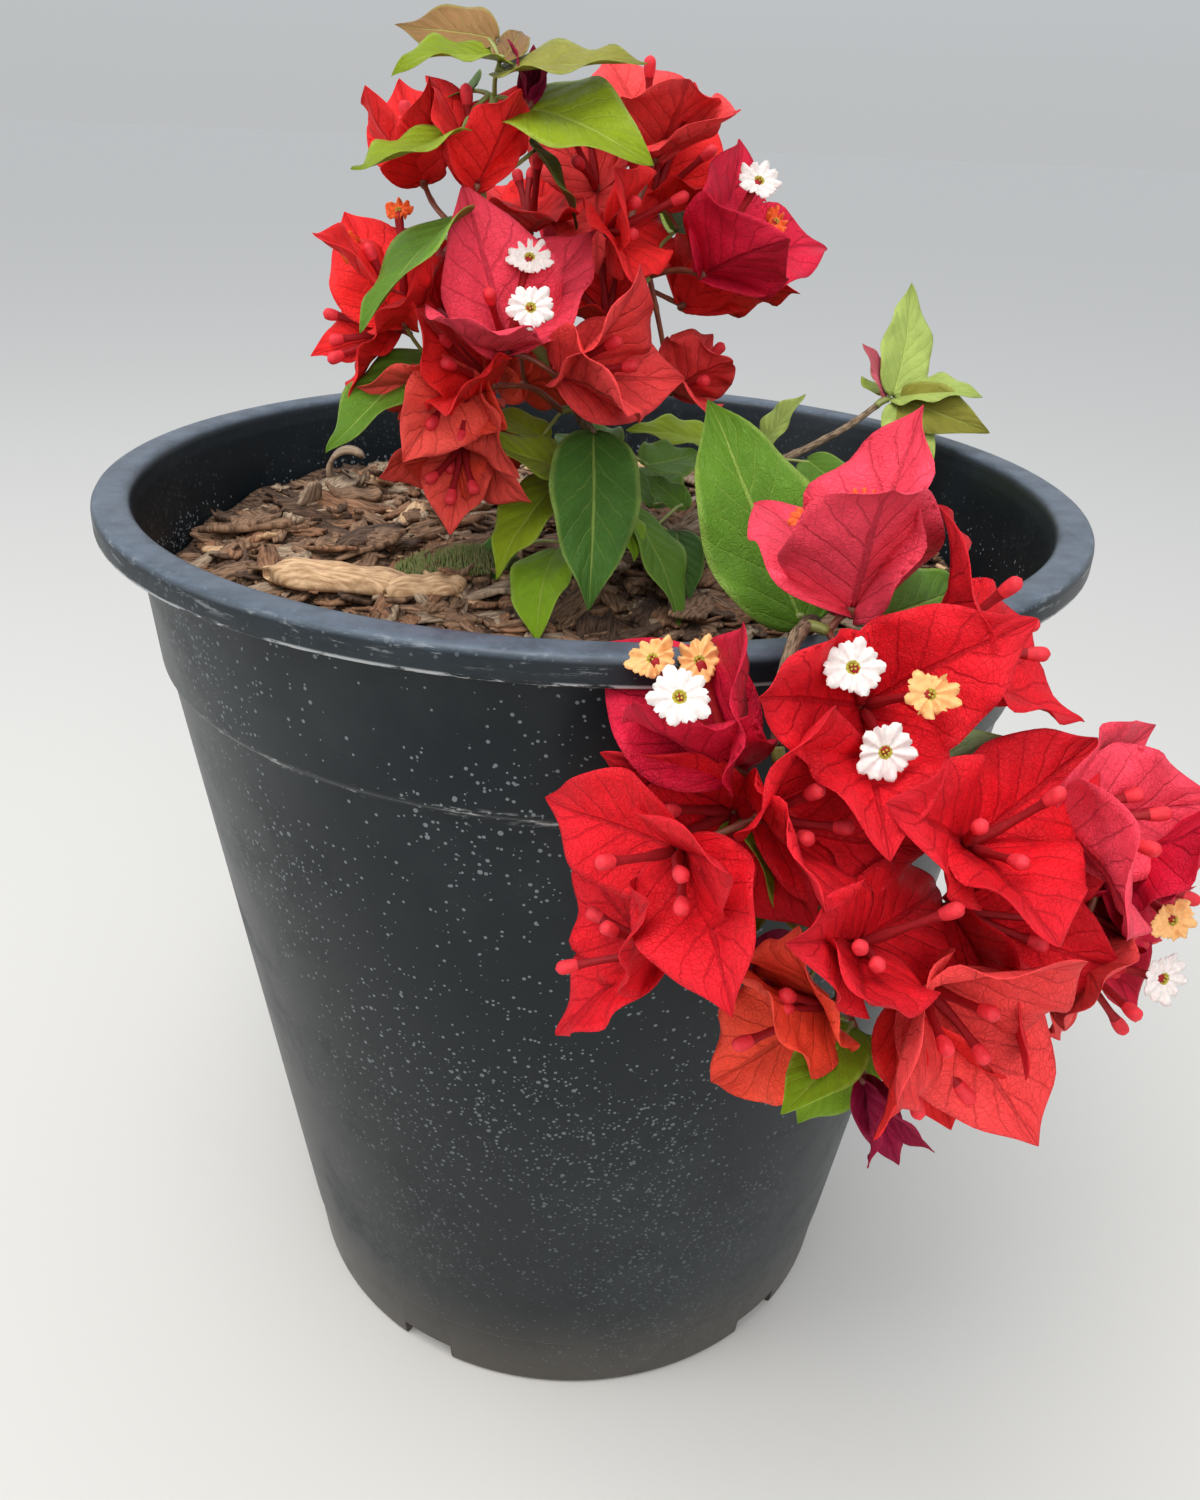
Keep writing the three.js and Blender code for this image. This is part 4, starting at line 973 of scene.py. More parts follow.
# %% Veins: net and height
CREPE_FINER, CREPE_SHARE = 2.7, 0.45
stretched = node(vein_group, "ShaderNodeVectorMath", {0: ins.outputs["Flat"], 1: (1.0, 0.62, 1.0)},
                 operation="MULTIPLY")
cells = node(vein_group, "ShaderNodeTexVoronoi", {
    "Vector": stretched.outputs[0], "Scale": ins.outputs["Net scale"]}, feature="DISTANCE_TO_EDGE")
net = ramp(vein_group, cells.outputs["Distance"], ins.outputs["Net width"], 0.0)
finer = maths(vein_group, "MULTIPLY", ins.outputs["Net scale"], CREPE_FINER)
crepe = node(vein_group, "ShaderNodeTexVoronoi", {
    "Vector": stretched.outputs[0], "Scale": finer}, feature="DISTANCE_TO_EDGE")
crepe = ramp(vein_group, crepe.outputs["Distance"], 0.16, 0.0)
puffed = maths(vein_group, "MULTIPLY", away, ramp(vein_group, across, 0.0, 0.25, 0.0, 1.3))
hills = maths(vein_group, "MULTIPLY_ADD", net, -0.22, maths(vein_group, "SUBTRACT", puffed, veins))
hills = maths(vein_group, "MULTIPLY_ADD", crepe, -0.17, hills)
net = maths(vein_group, "MAXIMUM", net, maths(vein_group, "MULTIPLY", crepe, CREPE_SHARE))
vein_group.links.new(veins, outs.inputs["Veins"])
vein_group.links.new(net, outs.inputs["Net"])
vein_group.links.new(ramp(vein_group, across, 0.84, 0.99), outs.inputs["Margin"])
vein_group.links.new(along, outs.inputs["Along"])
vein_group.links.new(hills, outs.inputs["Height"])
print("vein group sockets:", len(vein_group.interface.items_tree))

# %% [markdown]
# Each spray has one plain colour, from scarlet through crimson to a faded rose, and each leaf is
# mid green, yellow-green or bronze by its age. Scarlet, light, orange and coral are lifted brighter
# for the heads of the crown, which lie in shade, and red is darker for the heads at the front and
# sides,
# which are in full light: that part of the spread of reds is painted light and shade. The veins
# only darken a bract and lighten a leaf a little. Both are matt and papery, with a faint sheen and
# no gloss.

# %% Leaves and bracts: one finish
VEIN_RELIEF, VEIN_DEPTH = 0.7, 0.0009


def blade_finish(name, tints, shares, roughness, pairs, net_scale, patchy):
    """A finish for blades, with the relief of their veins.

    The tints are for body, tip, veins and edge, the shares for keel, side veins and net."""
    tint, tip_tint, vein_tint, edge_tint = tints
    made, tree, shader = finish(name, tint, roughness, Specular_IOR_Level=0.14)
    veins = placed(tree, vein_group, {"Flat": flat_place(tree), "Pairs": pairs,
                                      "Net scale": net_scale,
                                      "Side share": shares[1]})
    place = node(tree, "ShaderNodeTexCoord").outputs["Object"]
    clouds = node(tree, "ShaderNodeTexNoise", {
        "Vector": place, "Scale": 80.0, "Detail": 5.0, "Roughness": 0.72})
    dull, lively = (tuple(min(1, (1 + way * patchy) * c) for c in tint) for way in (-1, 0.6))
    colour = blend_colour(tree, ramp(tree, clouds.outputs["Fac"], 0.32, 0.68), (*dull, 1),
                          (*lively, 1))
    to_tip = ramp(tree, veins.outputs["Along"], 0.25, 1.0, 0.0, 0.7)
    to_edge = maths(tree, "MULTIPLY", veins.outputs["Margin"], 0.5)
    to_net = maths(tree, "MULTIPLY", veins.outputs["Net"], shares[2])
    to_veins = maths(tree, "MULTIPLY", veins.outputs["Veins"], shares[0])
    layers = ((to_tip, tip_tint), (to_edge, edge_tint), (to_net, vein_tint), (to_veins, vein_tint))
    for share, over in layers:
        colour = blend_colour(tree, share, colour, (*over, 1))
    tree.links.new(colour, shader.inputs["Base Color"])
    relief(tree, shader, veins.outputs["Height"], VEIN_RELIEF, VEIN_DEPTH)
    return made


print("relief of a blade:", VEIN_DEPTH / MM, "mm")

# %% Leaves and bracts: colours
# Brighter reds for heads in shade and a darker red for heads in full light are painted light.
BRACT_TINTS = {
    "scarlet": (0.98, 0.022, 0.020), "red": (0.74, 0.007, 0.015), "crimson": (0.66, 0.008, 0.040),
    "rose": (0.95, 0.062, 0.105), "light": (0.96, 0.064, 0.060), "orange": (0.96, 0.074, 0.032),
    "deep": (0.42, 0.003, 0.016), "magenta": (0.34, 0.005, 0.050), "coral": (0.97, 0.090, 0.062),
}
LEAF_TINTS = {
    "green": (0.095, 0.205, 0.014), "dark": (0.045, 0.125, 0.016), "yellow": (0.225, 0.300, 0.008),
    "bright": (0.190, 0.335, 0.010), "olive": (0.180, 0.230, 0.014), "grey": (0.300, 0.430, 0.200),
    "russet": (0.290, 0.150, 0.055), "bronze": (0.250, 0.235, 0.035), "pale": (0.400, 0.500, 0.120),
    "pink": (0.700, 0.120, 0.180),
}
PALE_GREEN, PINK = (0.50, 0.60, 0.14), (0.88, 0.10, 0.15)
# What all of one kind share: vein shares, roughness, pairs of side veins, net scale and patchiness.
BRACT_SKIN = ((0.50, 0.60, 0.26), 0.55, 6.0, 22.0, 0.24)
LEAF_SKIN = ((0.50, 0.34, 0.08), 0.40, 7.0, 24.0, 0.16)
bract_finishes, leaf_finishes = [], []
for name, tint in BRACT_TINTS.items():
    dark = tuple(0.36 * c for c in tint)
    tip = tuple(0.88 * c + 0.12 * p for c, p in zip(tint, PINK))
    tints = (tint, tip, dark, tuple(0.9 * c for c in tip))
    bract_finishes.append(blade_finish(f"bract_{name}", tints, *BRACT_SKIN))
for name, tint in LEAF_TINTS.items():
    light = tuple(0.45 * c + 0.55 * p for c, p in zip(tint, PALE_GREEN))
    leaf_finishes.append(blade_finish(f"leaf_{name}", (tint, tint, light, light), *LEAF_SKIN))
print("bract colours:", len(bract_finishes), "leaf colours:", len(leaf_finishes))

# %% [markdown]
# A blade is drawn from its outline: the half width grows quickly from the base and runs out into a
# point. The blade bends away along its length and folds up along its keel. Close up it is never
# flat: the margin waves, the two halves differ, and the tip turns over. A closed slab with a real
# thickness keeps it solid from both sides.

# %% Blades: shape
BLADE_SHAPE = dict(skew=0.62, fullness=0.8, tip_cut=0.35, tip_start=0.7)
BLADE_ROWS, BLADE_COLUMNS = 25, 13
BLADE_THICK = 0.32


def half_width(u):
    body = np.clip(np.sin(np.pi * u ** BLADE_SHAPE["skew"]), 0, 1) ** BLADE_SHAPE["fullness"]
    return body * (1 - BLADE_SHAPE["tip_cut"] * smoothstep(u, BLADE_SHAPE["tip_start"], 1))


def blade(base, along, face, length, ratio, fold, bend, seed, wave, curl, lobe, buckle):
    """Points, faces and flat coordinates of a leaf or bract, by the solids' rule with finer detail.

    Wave is the margin's, curl the tip's, lobe the round base's and buckle the whole skin's."""
    axis = unit(along)
    normal = unit(face - axis * np.dot(face, axis))
    side = np.cross(axis, normal)
    start = spun(axis, side, bend / 2)
    start_normal = spun(normal, side, bend / 2)
    s = np.linspace(0.004, 0.998, BLADE_ROWS)
    s = 0.45 * s + 0.55 * (1 - np.cos(np.pi * s)) / 2
    u, v = np.meshgrid(s, np.linspace(-1, 1, BLADE_COLUMNS), indexing="ij")
    half = length * ratio / 2 * half_width(u) * (1 + between(seed + 0.7, -0.07, 0.07) * np.sign(v))
    ups = np.array([spun(start_normal, side, -bend * t) for t in s])[:, None]
    away = np.abs(v)
    crease = math.radians(fold)
    lift = half * math.sin(crease) * (1.25 * away - 0.30 * away ** 3)
    waves = 2 * np.pi * (between(seed + 0.1, 1.6, 2.9) * u + random(seed + 0.2 + 0.1 * np.sign(v)))
    lift = lift + (wave * length * away ** 2.5 * np.sin(waves)
                   * np.sin(np.pi * np.clip(u, 0, 1)) ** 0.5)
    lift = lift + buckle * length * (np.sin(19 * u + 6 * random(seed + 0.5))
                                     * np.sin(8.5 * v + 6 * random(seed + 0.6)) * np.sin(np.pi * u))
    turn_over = curl * length * between(seed + 0.3, -1, 0.7) * np.clip((u - 0.62) / 0.38, 0, 1) ** 2
    sway = 0.035 * length * between(seed + 0.4, -1, 1) * np.sin(np.pi * u)
    reach = length * np.sin(bend * u) / bend - lobe * length * away ** 1.6 * (1 - u) ** 9
    drop = -length * (1 - np.cos(bend * u)) / bend
    middle = (base + start * reach[..., None] + start_normal * drop[..., None]
              + side * (v * half * math.cos(crease) + sway)[..., None]
              + ups * (lift + turn_over)[..., None])
    edge = BLADE_THICK / 2 * (1 - 0.55 * away ** 6) * np.clip(12 * (1 - u), 0.3, 1)
    over = ups * edge[..., None]
    return slab(middle + over, middle - over, u, 0.5 + 0.5 * v)


print("triangles in a blade:", 2 * len(shell_of(BLADE_ROWS, BLADE_COLUMNS)))

# %% [markdown]
# The true flower is the slim tube that stands on each bract. In bud its end is swollen and closed.
# When it opens, five white lobes, each notched, spread to a star of ten points round a tiny golden
# throat. As it ages the star turns peach and crumples. The star is a ring of points whose reach
# follows the lobes; the throat is a few grains round a dark bead, which is painted shade: it
# stands for the dark open end of the tube.

# %% Flowers: finishes
# A finish's name, tint, roughness and the share of light that passes through it.
PETALS = (("tube_red", (0.30, 0.010, 0.014), 0.6, 0.1),
          ("bud_coral", (0.68, 0.032, 0.045), 0.55, 0.15),
          ("star_white", (0.74, 0.66, 0.62), 0.6, 0.1),
          ("star_peach", (0.84, 0.44, 0.17), 0.65, 0.15),
          ("throat_gold", (0.42, 0.36, 0.05), 0.6, 0.1),
          ("star_red", (0.78, 0.12, 0.025), 0.6, 0.15),
          ("star_blush", (0.78, 0.46, 0.44), 0.6, 0.1))
flower_finishes = []
for name, tint, roughness, glow in PETALS:
    made, tree, shader = finish(name, tint, roughness, Subsurface_Weight=glow,
                                Subsurface_Scale=0.001,
                                Specular_IOR_Level=0.2)
    place = node(tree, "ShaderNodeTexCoord").outputs["Object"]
    grain = node(tree, "ShaderNodeTexNoise", {"Vector": place, "Scale": 900.0, "Detail": 3.0})
    shade = ramp(tree, grain.outputs["Fac"], 0.3, 0.7)
    dull, lively = (tuple(min(1, change * c) for c in tint) for change in (0.86, 1.06))
    tree.links.new(blend_colour(tree, shade, (*dull, 1), (*lively, 1)), shader.inputs["Base Color"])
    relief(tree, shader, grain.outputs["Fac"], 0.4, 0.0002)
    flower_finishes.append(made)
TUBE_RED, BUD_CORAL, STAR_WHITE, STAR_PEACH, THROAT_GOLD, STAR_RED, STAR_BLUSH = range(7)
print("flower finishes:", len(flower_finishes))

# %% Flowers: tube and bud
TUBE = dict(shortest=19, longest=25, radius=0.92, bud=1.62, along=0.62, out=0.8, root=1.6, bow=1.3)
TUBE_ROWS, TUBE_SIDES = 28, 15


def flower_tube(pile, centre, out, length, is_open, seed):
    """The tube, ribbed and narrow at its waist; in bud its last part is a swollen tip."""
    t = np.linspace(0, 1, TUBE_ROWS)
    t = t * (1.4 - 0.4 * t)
    path = centre + np.outer(TUBE["root"] + (length - TUBE["root"]) * t, out)
    bow = unit(np.cross(out, [0.3, 0.2, 1])) * between(seed, -1, 1)
    path = path + np.outer(np.sin(np.pi * t) * TUBE["bow"], bow)
    swell = np.exp(-np.abs((t - 0.90) / np.where(t > 0.90, 0.11, 0.13)) ** 2.6)
    radii = TUBE["radius"] * (0.75 + 0.45 * np.exp(-((t - 0.2) / 0.18) ** 2) + 0.25 * t)
    radii = radii + (TUBE["bud"] - TUBE["radius"]) * swell * (0.35 if is_open else 1.0)
    radii = radii * np.sqrt(1.02 - np.clip((t - 0.94) / 0.06, 0, 1) ** 2)
    ribs = 1 + 0.12 * np.outer(1 - 0.8 * swell,
                               np.cos(5 * np.arange(TUBE_SIDES) * 2 * np.pi / TUBE_SIDES))
    points, faces, flat = tube(path, radii, TUBE_SIDES, ribs)
    ring = faces.max(axis=1) // TUBE_SIDES
    tip_ring = np.searchsorted(t, 0.80)
    pile.add(points, faces, flat, np.where((ring >= tip_ring) & (not is_open), BUD_CORAL, TUBE_RED))
    return path[-1]


print("a tube is", TUBE["shortest"], "to", TUBE["longest"], "mm long")

# %% Flowers: star and throat
FACE_RADIUS, FACE_FACING = 6.2, 2.2
STAR_STEPS, STAR_RINGS, STAR_THICK = 120, 8, 0.3
# For each letter, how far the star has drawn in and its finish.
STARS = {"w": (1.0, STAR_WHITE), "o": (0.86, STAR_PEACH), "r": (0.6, STAR_RED)}
# The throat's dark bead, which is painted shade for the tube's open end, and a grain in the throat:
# their places along the axis and their radii.
SHADED_THROAT_BEAD = ([-1.2, -0.9, -0.35, -0.1], [0.3, 0.75, 0.75, 0.3])
GRAIN = ([-0.4, -0.1, 0.3, 0.5], [0.15, 0.26, 0.26, 0.12])
GRAINS, GRAIN_TURN, GRAIN_AWAY = 4, 1.57, 0.5


def beads(pile, centre, axis, places, radii, sides, paint):
    """A closed drop on the axis: the throat's dark bead of painted shade, or a grain of pollen."""
    pile.add(*tube(centre + np.outer(places, axis), radii, sides)[:2], None, paint)


def star(pile, centre, facing, turn, letter, seed):
    """Ten blunt lobes in five pairs dip to the throat; an aged star has drawn in and crumpled."""
    size, paint = STARS[letter]
    aged = letter in "or"
    axis = unit(facing)
    first = unit(np.cross(axis, [0.2, 0.1, 1]))
    second = np.cross(axis, first)
    r, a = np.meshgrid(np.linspace(0.10, 1, STAR_RINGS),
                       np.arange(STAR_STEPS) * 2 * np.pi / STAR_STEPS,
                       indexing="ij")
    b = a + turn
    lobes = np.abs(np.cos(5 * b)) ** 0.45
    pairs = np.abs(np.cos(2.5 * b)) ** 0.35
    frill = np.sin(31 * b + seed) * 0.5 + np.sin(47 * b + 3 * seed) * 0.5
    uneven = 0.06 * np.sin(2 * b + 5 * seed) + 0.04 * np.sin(3 * b + 2 * seed)
    outline = 0.44 + 0.26 * lobes + 0.28 * pairs + 0.025 * frill + uneven * (1.6 if aged else 0.8)
    radius = FACE_RADIUS * size * r * (1 + (outline - 1) * r)
    rise = FACE_RADIUS * (0.24 * r ** 0.6 + 0.07 * r * np.cos(10 * b) - 0.08 * r ** 3)
    crumple = np.sin(4 * a + 9 * seed + 2 * np.sin(3 * a)) + 0.6 * np.sin(9 * a + 5 * seed)
    ruffle = (1.0 * r ** 2 + 0.5 * r * np.sin(9 * r + seed) if aged else 0.28 * r ** 2) * crumple
    sheets = []
    for half in (STAR_THICK / 2, -STAR_THICK / 2):
        level = rise + ruffle + half * (1 - 0.5 * r)
        around = first * np.cos(a)[..., None] + second * np.sin(a)[..., None]
        sheets.append(centre + around * radius[..., None] + axis * (level - 1)[..., None])
    points = np.concatenate([sheet.reshape(-1, 3) for sheet in sheets])
    faces = grid_faces(STAR_RINGS, STAR_STEPS, closed=True)
    count = STAR_RINGS * STAR_STEPS
    k = np.arange(STAR_STEPS)
    after = (k + 1) % STAR_STEPS
    rim = count - STAR_STEPS
    outer = np.stack([rim + k, rim + after, rim + after + count, rim + k + count], -1)
    inner = np.stack([after, k, k + count, after + count], -1)
    edge_paint = paint if aged else STAR_BLUSH
    ring_of_face = np.repeat(np.arange(STAR_RINGS - 1), STAR_STEPS)
    front = np.where(ring_of_face == 0, THROAT_GOLD, paint)
    paints = np.concatenate([front, np.full(len(faces), edge_paint),
                             np.full(2 * STAR_STEPS, edge_paint)])
    pile.add(points, np.concatenate([faces, faces[:, ::-1] + count, outer, inner]), None, paints)
    # The dark bead in the middle is painted shade for the tube's open end.
    beads(pile, centre, axis, *SHADED_THROAT_BEAD, 8, TUBE_RED)
    for grain in range(GRAINS):
        way = (first * math.cos(grain * GRAIN_TURN + seed)
               + second * math.sin(grain * GRAIN_TURN + seed))
        beads(pile, centre + GRAIN_AWAY * way, axis, *GRAIN, 6, THROAT_GOLD)


print("a star's points:", 2 * STAR_RINGS * STAR_STEPS)

# %% [markdown]
# Where everything grows. Directions are read off a clock face held in the viewer's picture plane,
# which tilts back by 27 degrees, with a lean towards the viewer. A head is its centre, its three
# bracts, their length, a letter for each flower (b bud, w open, o ageing, r withered, n none) and
# its colour. A head marked behind faces the far side. A leaf is where its blade starts, its
# direction, its length, its roll and its colour.

# %% Masses: places, directions and colours
MASSES = [
    ("crown_tip", "bough_crown", 1, [], [
        ((-28, -45, 410), (8.25, 30), 30, 10, "yellow"),
        ((-31, -40, 415), (9.5, -20), 26, -20, "russet"),
        ((-27, -44, 411), (0.5, -35), 16, 0, "russet"),
        ((-27, -45, 408), (3.25, 25), 38, -10, "bronze"),
        ((-22, -42, 400), (4.25, 30), 46, 10, "yellow"),
        ((-22, -30, 401), (2.5, -60), 34, 15, "green"),
        ((-36, -32, 404), (9.5, -65), 32, -15, "green"),
        ((-38, -42, 394), (7.5, 35), 38, 20, "yellow")]),
    ("crown_left", "bough_crown", 0.74, [
        ((-54, -38, 348), ((10, 55), (11, -5), (2.5, 70)), 36, "rbr", "scarlet"),
        ((-50, -22, 382), ((10.25, 60), (11.5, -15), (0.75, 65)), 32, "bbb", "scarlet")], [
        ((-37, -50, 375), (7, 20), 44, 35, "green"),
        ((-48, -34, 338), (7.25, 20), 42, 15, "green")]),
    ("crown_middle", "bough_crown", 0.5, [
        ((-25, -52, 344), ((11.4, 18), (1, -5), (8.25, 70)), 40, "wwb", "rose"),
        ((-34, -42, 382), ((11.2, 8), (0.7, 2), (1.3, 52)), 29, "bnb", "scarlet"),
        ((-12, -50, 338), ((1.75, 45), (2.75, -20), (4.5, 50)), 38, "bbb", "light")], [
        ((-20, -30, 391), (4.25, -55), 28, 0, "dark")]),
    ("crown_back", "bough_back", 1, [
        ((-22, -10, 370), ((0.25, -35), (11, -35), (4.5, 70)), 34, "bbb", "scarlet"),
        ((-48, 8, 344), ((10, 55), (11, -5), (2.5, 70)), 36, "bwb", "red", "behind"),
        ((-10, 18, 356), ((11.5, 50), (1, -5), (8.25, 60)), 38, "bwb", "rose", "behind"),
        ((24, 8, 350), ((0.5, 15), (3.5, 65), (2.25, -15)), 38, "bbb", "scarlet", "behind"),
        ((-24, 14, 324), ((9, 40), (6.5, 50), (3, 20)), 32, "bbb", "orange", "behind")], [
        ((-36, 8, 366), (9.5, -50), 40, 10, "green"), ((8, 16, 368), (1.5, -50), 38, 10, "yellow"),
        ((-34, 20, 336), (8, -40), 38, -10, "green")]),
    ("crown_right", "bough_right", 1, [
        ((0, -28, 372), ((3, 85), (5.5, 45), (1.5, -45)), 34, "bbb", "scarlet"),
        ((12, -14, 390), ((11.25, -15), (2.25, 80), (3.25, 55)), 36, "bbb", "light"),
        ((26, -34, 363), ((0.5, -5), (3.5, 65), (2.25, -15)), 40, "wbr", "crimson"),
        ((21, -12, 328), ((1, -30), (2.75, 60), (4.75, 60)), 30, "bbb", "light")], [
        ((20, -6, 372), (1.5, -50), 36, 10, "green")]),
    ("crown_low", "stem_left", 0.93, [
        ((-30, -40, 333), ((10, 55), (11, -35), (7.25, 60)), 34, "bbb", "scarlet"),
        ((-34, -26, 327), ((8, 50), (10.25, -45), (5.25, 60)), 34, "bbb", "orange"),
        ((-41, -20, 317), ((7, 45), (5.75, 35), (3.75, -55)), 30, "bbn", "orange")], [
        ((-17, -25, 316), (10, -25), 22, 10, "yellow")]),
    ("skirt", "stem_left", 0.74, [], [
        ((-2, -40, 319), (6, 10), 50, -8, "dark"), ((-9, -30, 308), (9.25, 35), 32, 0, "yellow"),
        ((-12, -25, 303), (7, 25), 38, 15, "yellow"),
        ((5, -25, 295), (5.25, 35), 22, -30, "bright"),
        ((11, -22, 293), (5.25, 20), 40, -35, "green")]),
    ("skirt_back", "stem_left", 0.5, [], [
        ((4, 4, 306), (10, -55), 36, 0, "green"), ((16, 4, 302), (2, -50), 32, 10, "green")]),
    ("basal", "stem_left", 0.22, [], [
        ((-12, -32, 283), (6.25, 40), 38, 20, "bright"),
        ((-26, -12, 279), (7.5, -10), 30, 10, "dark"),
        ((26, -10, 283), (5.75, 35), 28, -10, "dark"), ((29, 12, 287), (10.5, -30), 20, 0, "green"),
        ((20, 22, 284), (0.5, -50), 34, 5, "green")]),
    ("large_leaf", "stem_right", 0.56, [], [((51, -96, 290), (11.25, -5), 63, -10, "green")]),
    ("rim_heads", "stem_right", 0.82, [
        ((54, -137, 307), ((0.5, 15), (11.75, 60), (11, -35)), 43, "rbr", "rose"),
        ((54, -157, 294), ((9, 45), (6, 45), (2.0, 30)), 38, "wow", "red"),
        ((70, -146, 302), ((11.6, 45), (3.75, -5), (2.5, -35)), 36, "bbb", "red")], [
        ((62, -134, 305), (2.25, -40), 34, 20, "green")]),
    ("front_heads", "bough_front", 0.12, [
        ((29, -158, 279), ((10.5, -15), (9.75, 50), (11.75, 45)), 38, "woo", "crimson"),
        ((34, -166, 272), ((0.5, 50), (5.25, 65), (3.25, -5)), 38, "bbb", "red"),
        ((18, -170, 266), ((9.5, -30), (3, 80), (5.5, 40)), 36, "bbb", "red"),
        ((17, -167, 238), ((7.5, -25), (10.5, -40), (11, 60)), 34, "bbb", "red")], [
        ((31, -155, 262), (5.75, -10), 28, 0, "olive")]),
    ("low_heads", "bough_front", 1, [
        ((52, -174, 230), ((10.75, 50), (7.5, -30), (9.75, 55)), 36, "bbb", "orange"),
        ((53, -184, 254), ((9.5, 60), (2.25, -40), (7.25, 75)), 34, "bbb", "red"),
        ((70, -178, 240), ((2, 55), (4.75, 0), (7.5, 55)), 40, "bbb", "light"),
        ((37, -162, 228), ((11.25, 50), (2, -40), (10, 75)), 22, "nnn", "magenta"),
        ((62, -176, 212), ((5.2, 5), (6.1, 40), (4.4, 30)), 20, "nnn", "magenta")], [
        ((51, -165, 238), (10.75, 20), 38, 20, "olive"),
        ((56, -178, 226), (7.75, 40), 28, 15, "bright"),
        ((54, -170, 224), (7, -25), 27, 0, "yellow"),
        ((65, -168, 214), (7, -30), 30, -15, "bright")]),
    ("side_heads", "bough_side", 1, [
        ((77, -168, 268), ((9.75, 50), (1.75, -15), (5.25, 65)), 38, "bbb", "red"),
        ((98, -160, 270), ((1.75, -20), (2.75, -10), (5.75, 60)), 38, "bbb", "rose"),
        ((115, -152, 256), ((1.5, 60), (3.75, -30), (4.75, -30)), 34, "obb", "crimson"),
        ((110, -158, 234), ((3, -35), (5.25, -40), (8.75, 75)), 32, "wbb", "light")], [
        ((74, -152, 280), (3.5, -10), 32, 20, "grey"),
        ((92, -146, 262), (1.5, -60), 34, 10, "green")]),
    ("back_leaves", "stem_back", 0.45, [], [
        ((44, 58, 296), (9, 25), 38, 10, "yellow"), ((62, 60, 298), (1.25, 45), 24, 0, "pale"),
        ((75, 40, 296), (4.75, 35), 30, 10, "green"), ((52, 24, 298), (1, -70), 34, 0, "green")]),
    ("back_shoot", "stem_back", 1, [], [
        ((108, 70, 317), (0.25, -5), 40, 20, "pale"), ((110, 70, 314), (3.25, 40), 32, 0, "pale"),
        ((111, 68, 313), (4, 30), 36, 30, "bronze"), ((110, 66, 311), (5.5, 15), 34, 15, "pale"),
        ((105, 71, 316), (10.75, 30), 20, 0, "pink"),
        ((104, 74, 314), (0.5, -65), 30, 0, "yellow")]),
]
heads, leaves = (sum(len(mass[column]) for mass in MASSES) for column in (3, 4))
print("masses:", len(MASSES), "heads:", heads, "leaves:", leaves)

# %% [markdown]
# Most flowers point where their bract does. The open ones that catch the eye were aimed one by one:
# for a mass and the number of its head, a flower has its own direction and reach. The second table
# holds more heads than the solids carry, in the same masses and within the same reach, so that the
# spray is as dense as a real one.

# %% Masses: aimed flowers and further heads
AIMS = {
    ("crown_middle", 1): {0: (0.45, 24, 24), 1: (2.0, 72, 24)},
    ("crown_right", 3): {0: (1.05, 26, 27), 2: (1.9, 22, 23)},
    ("rim_heads", 2): {0: (10.56, 63, 20), 1: (2.57, 63, 20), 2: (5.88, 62, 20)},
    ("front_heads", 1): {0: (10.42, 57, 36.5), 1: (10.7, 6, 29), 2: (11.32, 6, 24)},
    ("side_heads", 4): {0: (3.35, 31, 20)},
    ("side_heads", 3): {0: (4.69, 41, 20)},
    ("rim_heads", 1): {0: (0.04, 16, 23), 2: (10.97, 6, 22)},
    ("crown_left", 1): {0: (10.63, 25, 23), 2: (11.94, 26, 28)},
}
EXTRA_HEADS = {
    "crown_tip": [((-21, -44, 401), ((0.1, 0), (1.0, 25), (11.4, 25)), 14, "nnn", "magenta")],
    "crown_left": [((-57, -30, 345), ((8.3, 10), (7.0, 20), (10.2, -10)), 25, "bbb", "scarlet")],
    "crown_right": [((13, 0, 378), ((0.6, 10), (11.3, 5), (3.2, 25)), 34, "bbb", "scarlet"),
                    ((-3, 1, 381), ((10.7, 10), (0.2, -10), (6, 30)), 33, "bbb", "light")],
    "crown_middle": [((1, -20, 348), ((11.8, 12), (1.3, 0), (9, 10)), 30, "bbb", "scarlet")],
    "crown_low": [((-39, -31, 316), ((8.0, 15), (6.2, 10), (4.6, 20)), 28, "bbb", "coral"),
                  ((-36, -43, 336), ((8.6, 4), (7.1, 12), (5.2, 0)), 30, "bbb", "coral")],
    "front_heads": [((31, -152, 265), ((8.3, 10), (9.8, 20), (4.8, 40)), 34, "bbb", "red")],
    "side_heads": [((78, -163, 249), ((3.6, 15), (2.4, 0), (5.3, 30)), 38, "bbb", "red"),
                   ((107, -146, 243), ((4.9, 20), (3, 10), (6.2, 0)), 33, "bbb", "crimson")],
    "low_heads": [((67, -176, 233), ((6.5, 22), (5.2, 0), (4.2, 10)), 28, "bbb", "scarlet")],
}
VIEW_TILT = math.radians(27)
RIGHT = np.array([1.0, 0, 0])
UPWARDS = np.array([0, math.sin(VIEW_TILT), math.cos(VIEW_TILT)])
TOWARDS = np.array([0, -math.cos(VIEW_TILT), math.sin(VIEW_TILT)])


def direction(clock, lean, behind=False):
    angle, rise = math.radians(clock * 30), math.radians(lean)
    flat = RIGHT * math.sin(angle) + UPWARDS * math.cos(angle)
    way = flat * math.cos(rise) + TOWARDS * math.sin(rise)
    return way * np.array([1, -1, 1]) if behind else way


print("aimed flowers:", sum(map(len, AIMS.values())), "further heads:",
      sum(map(len, EXTRA_HEADS.values())))

# %% [markdown]
# A mass starts as one stem that leaves its bough. Each head and leaf then sends a twig back to the
# nearest wood grown so far, which is how a real spray forks. The same seeds as in the solids bow
# the twigs the same way, so the bush keeps its reach.

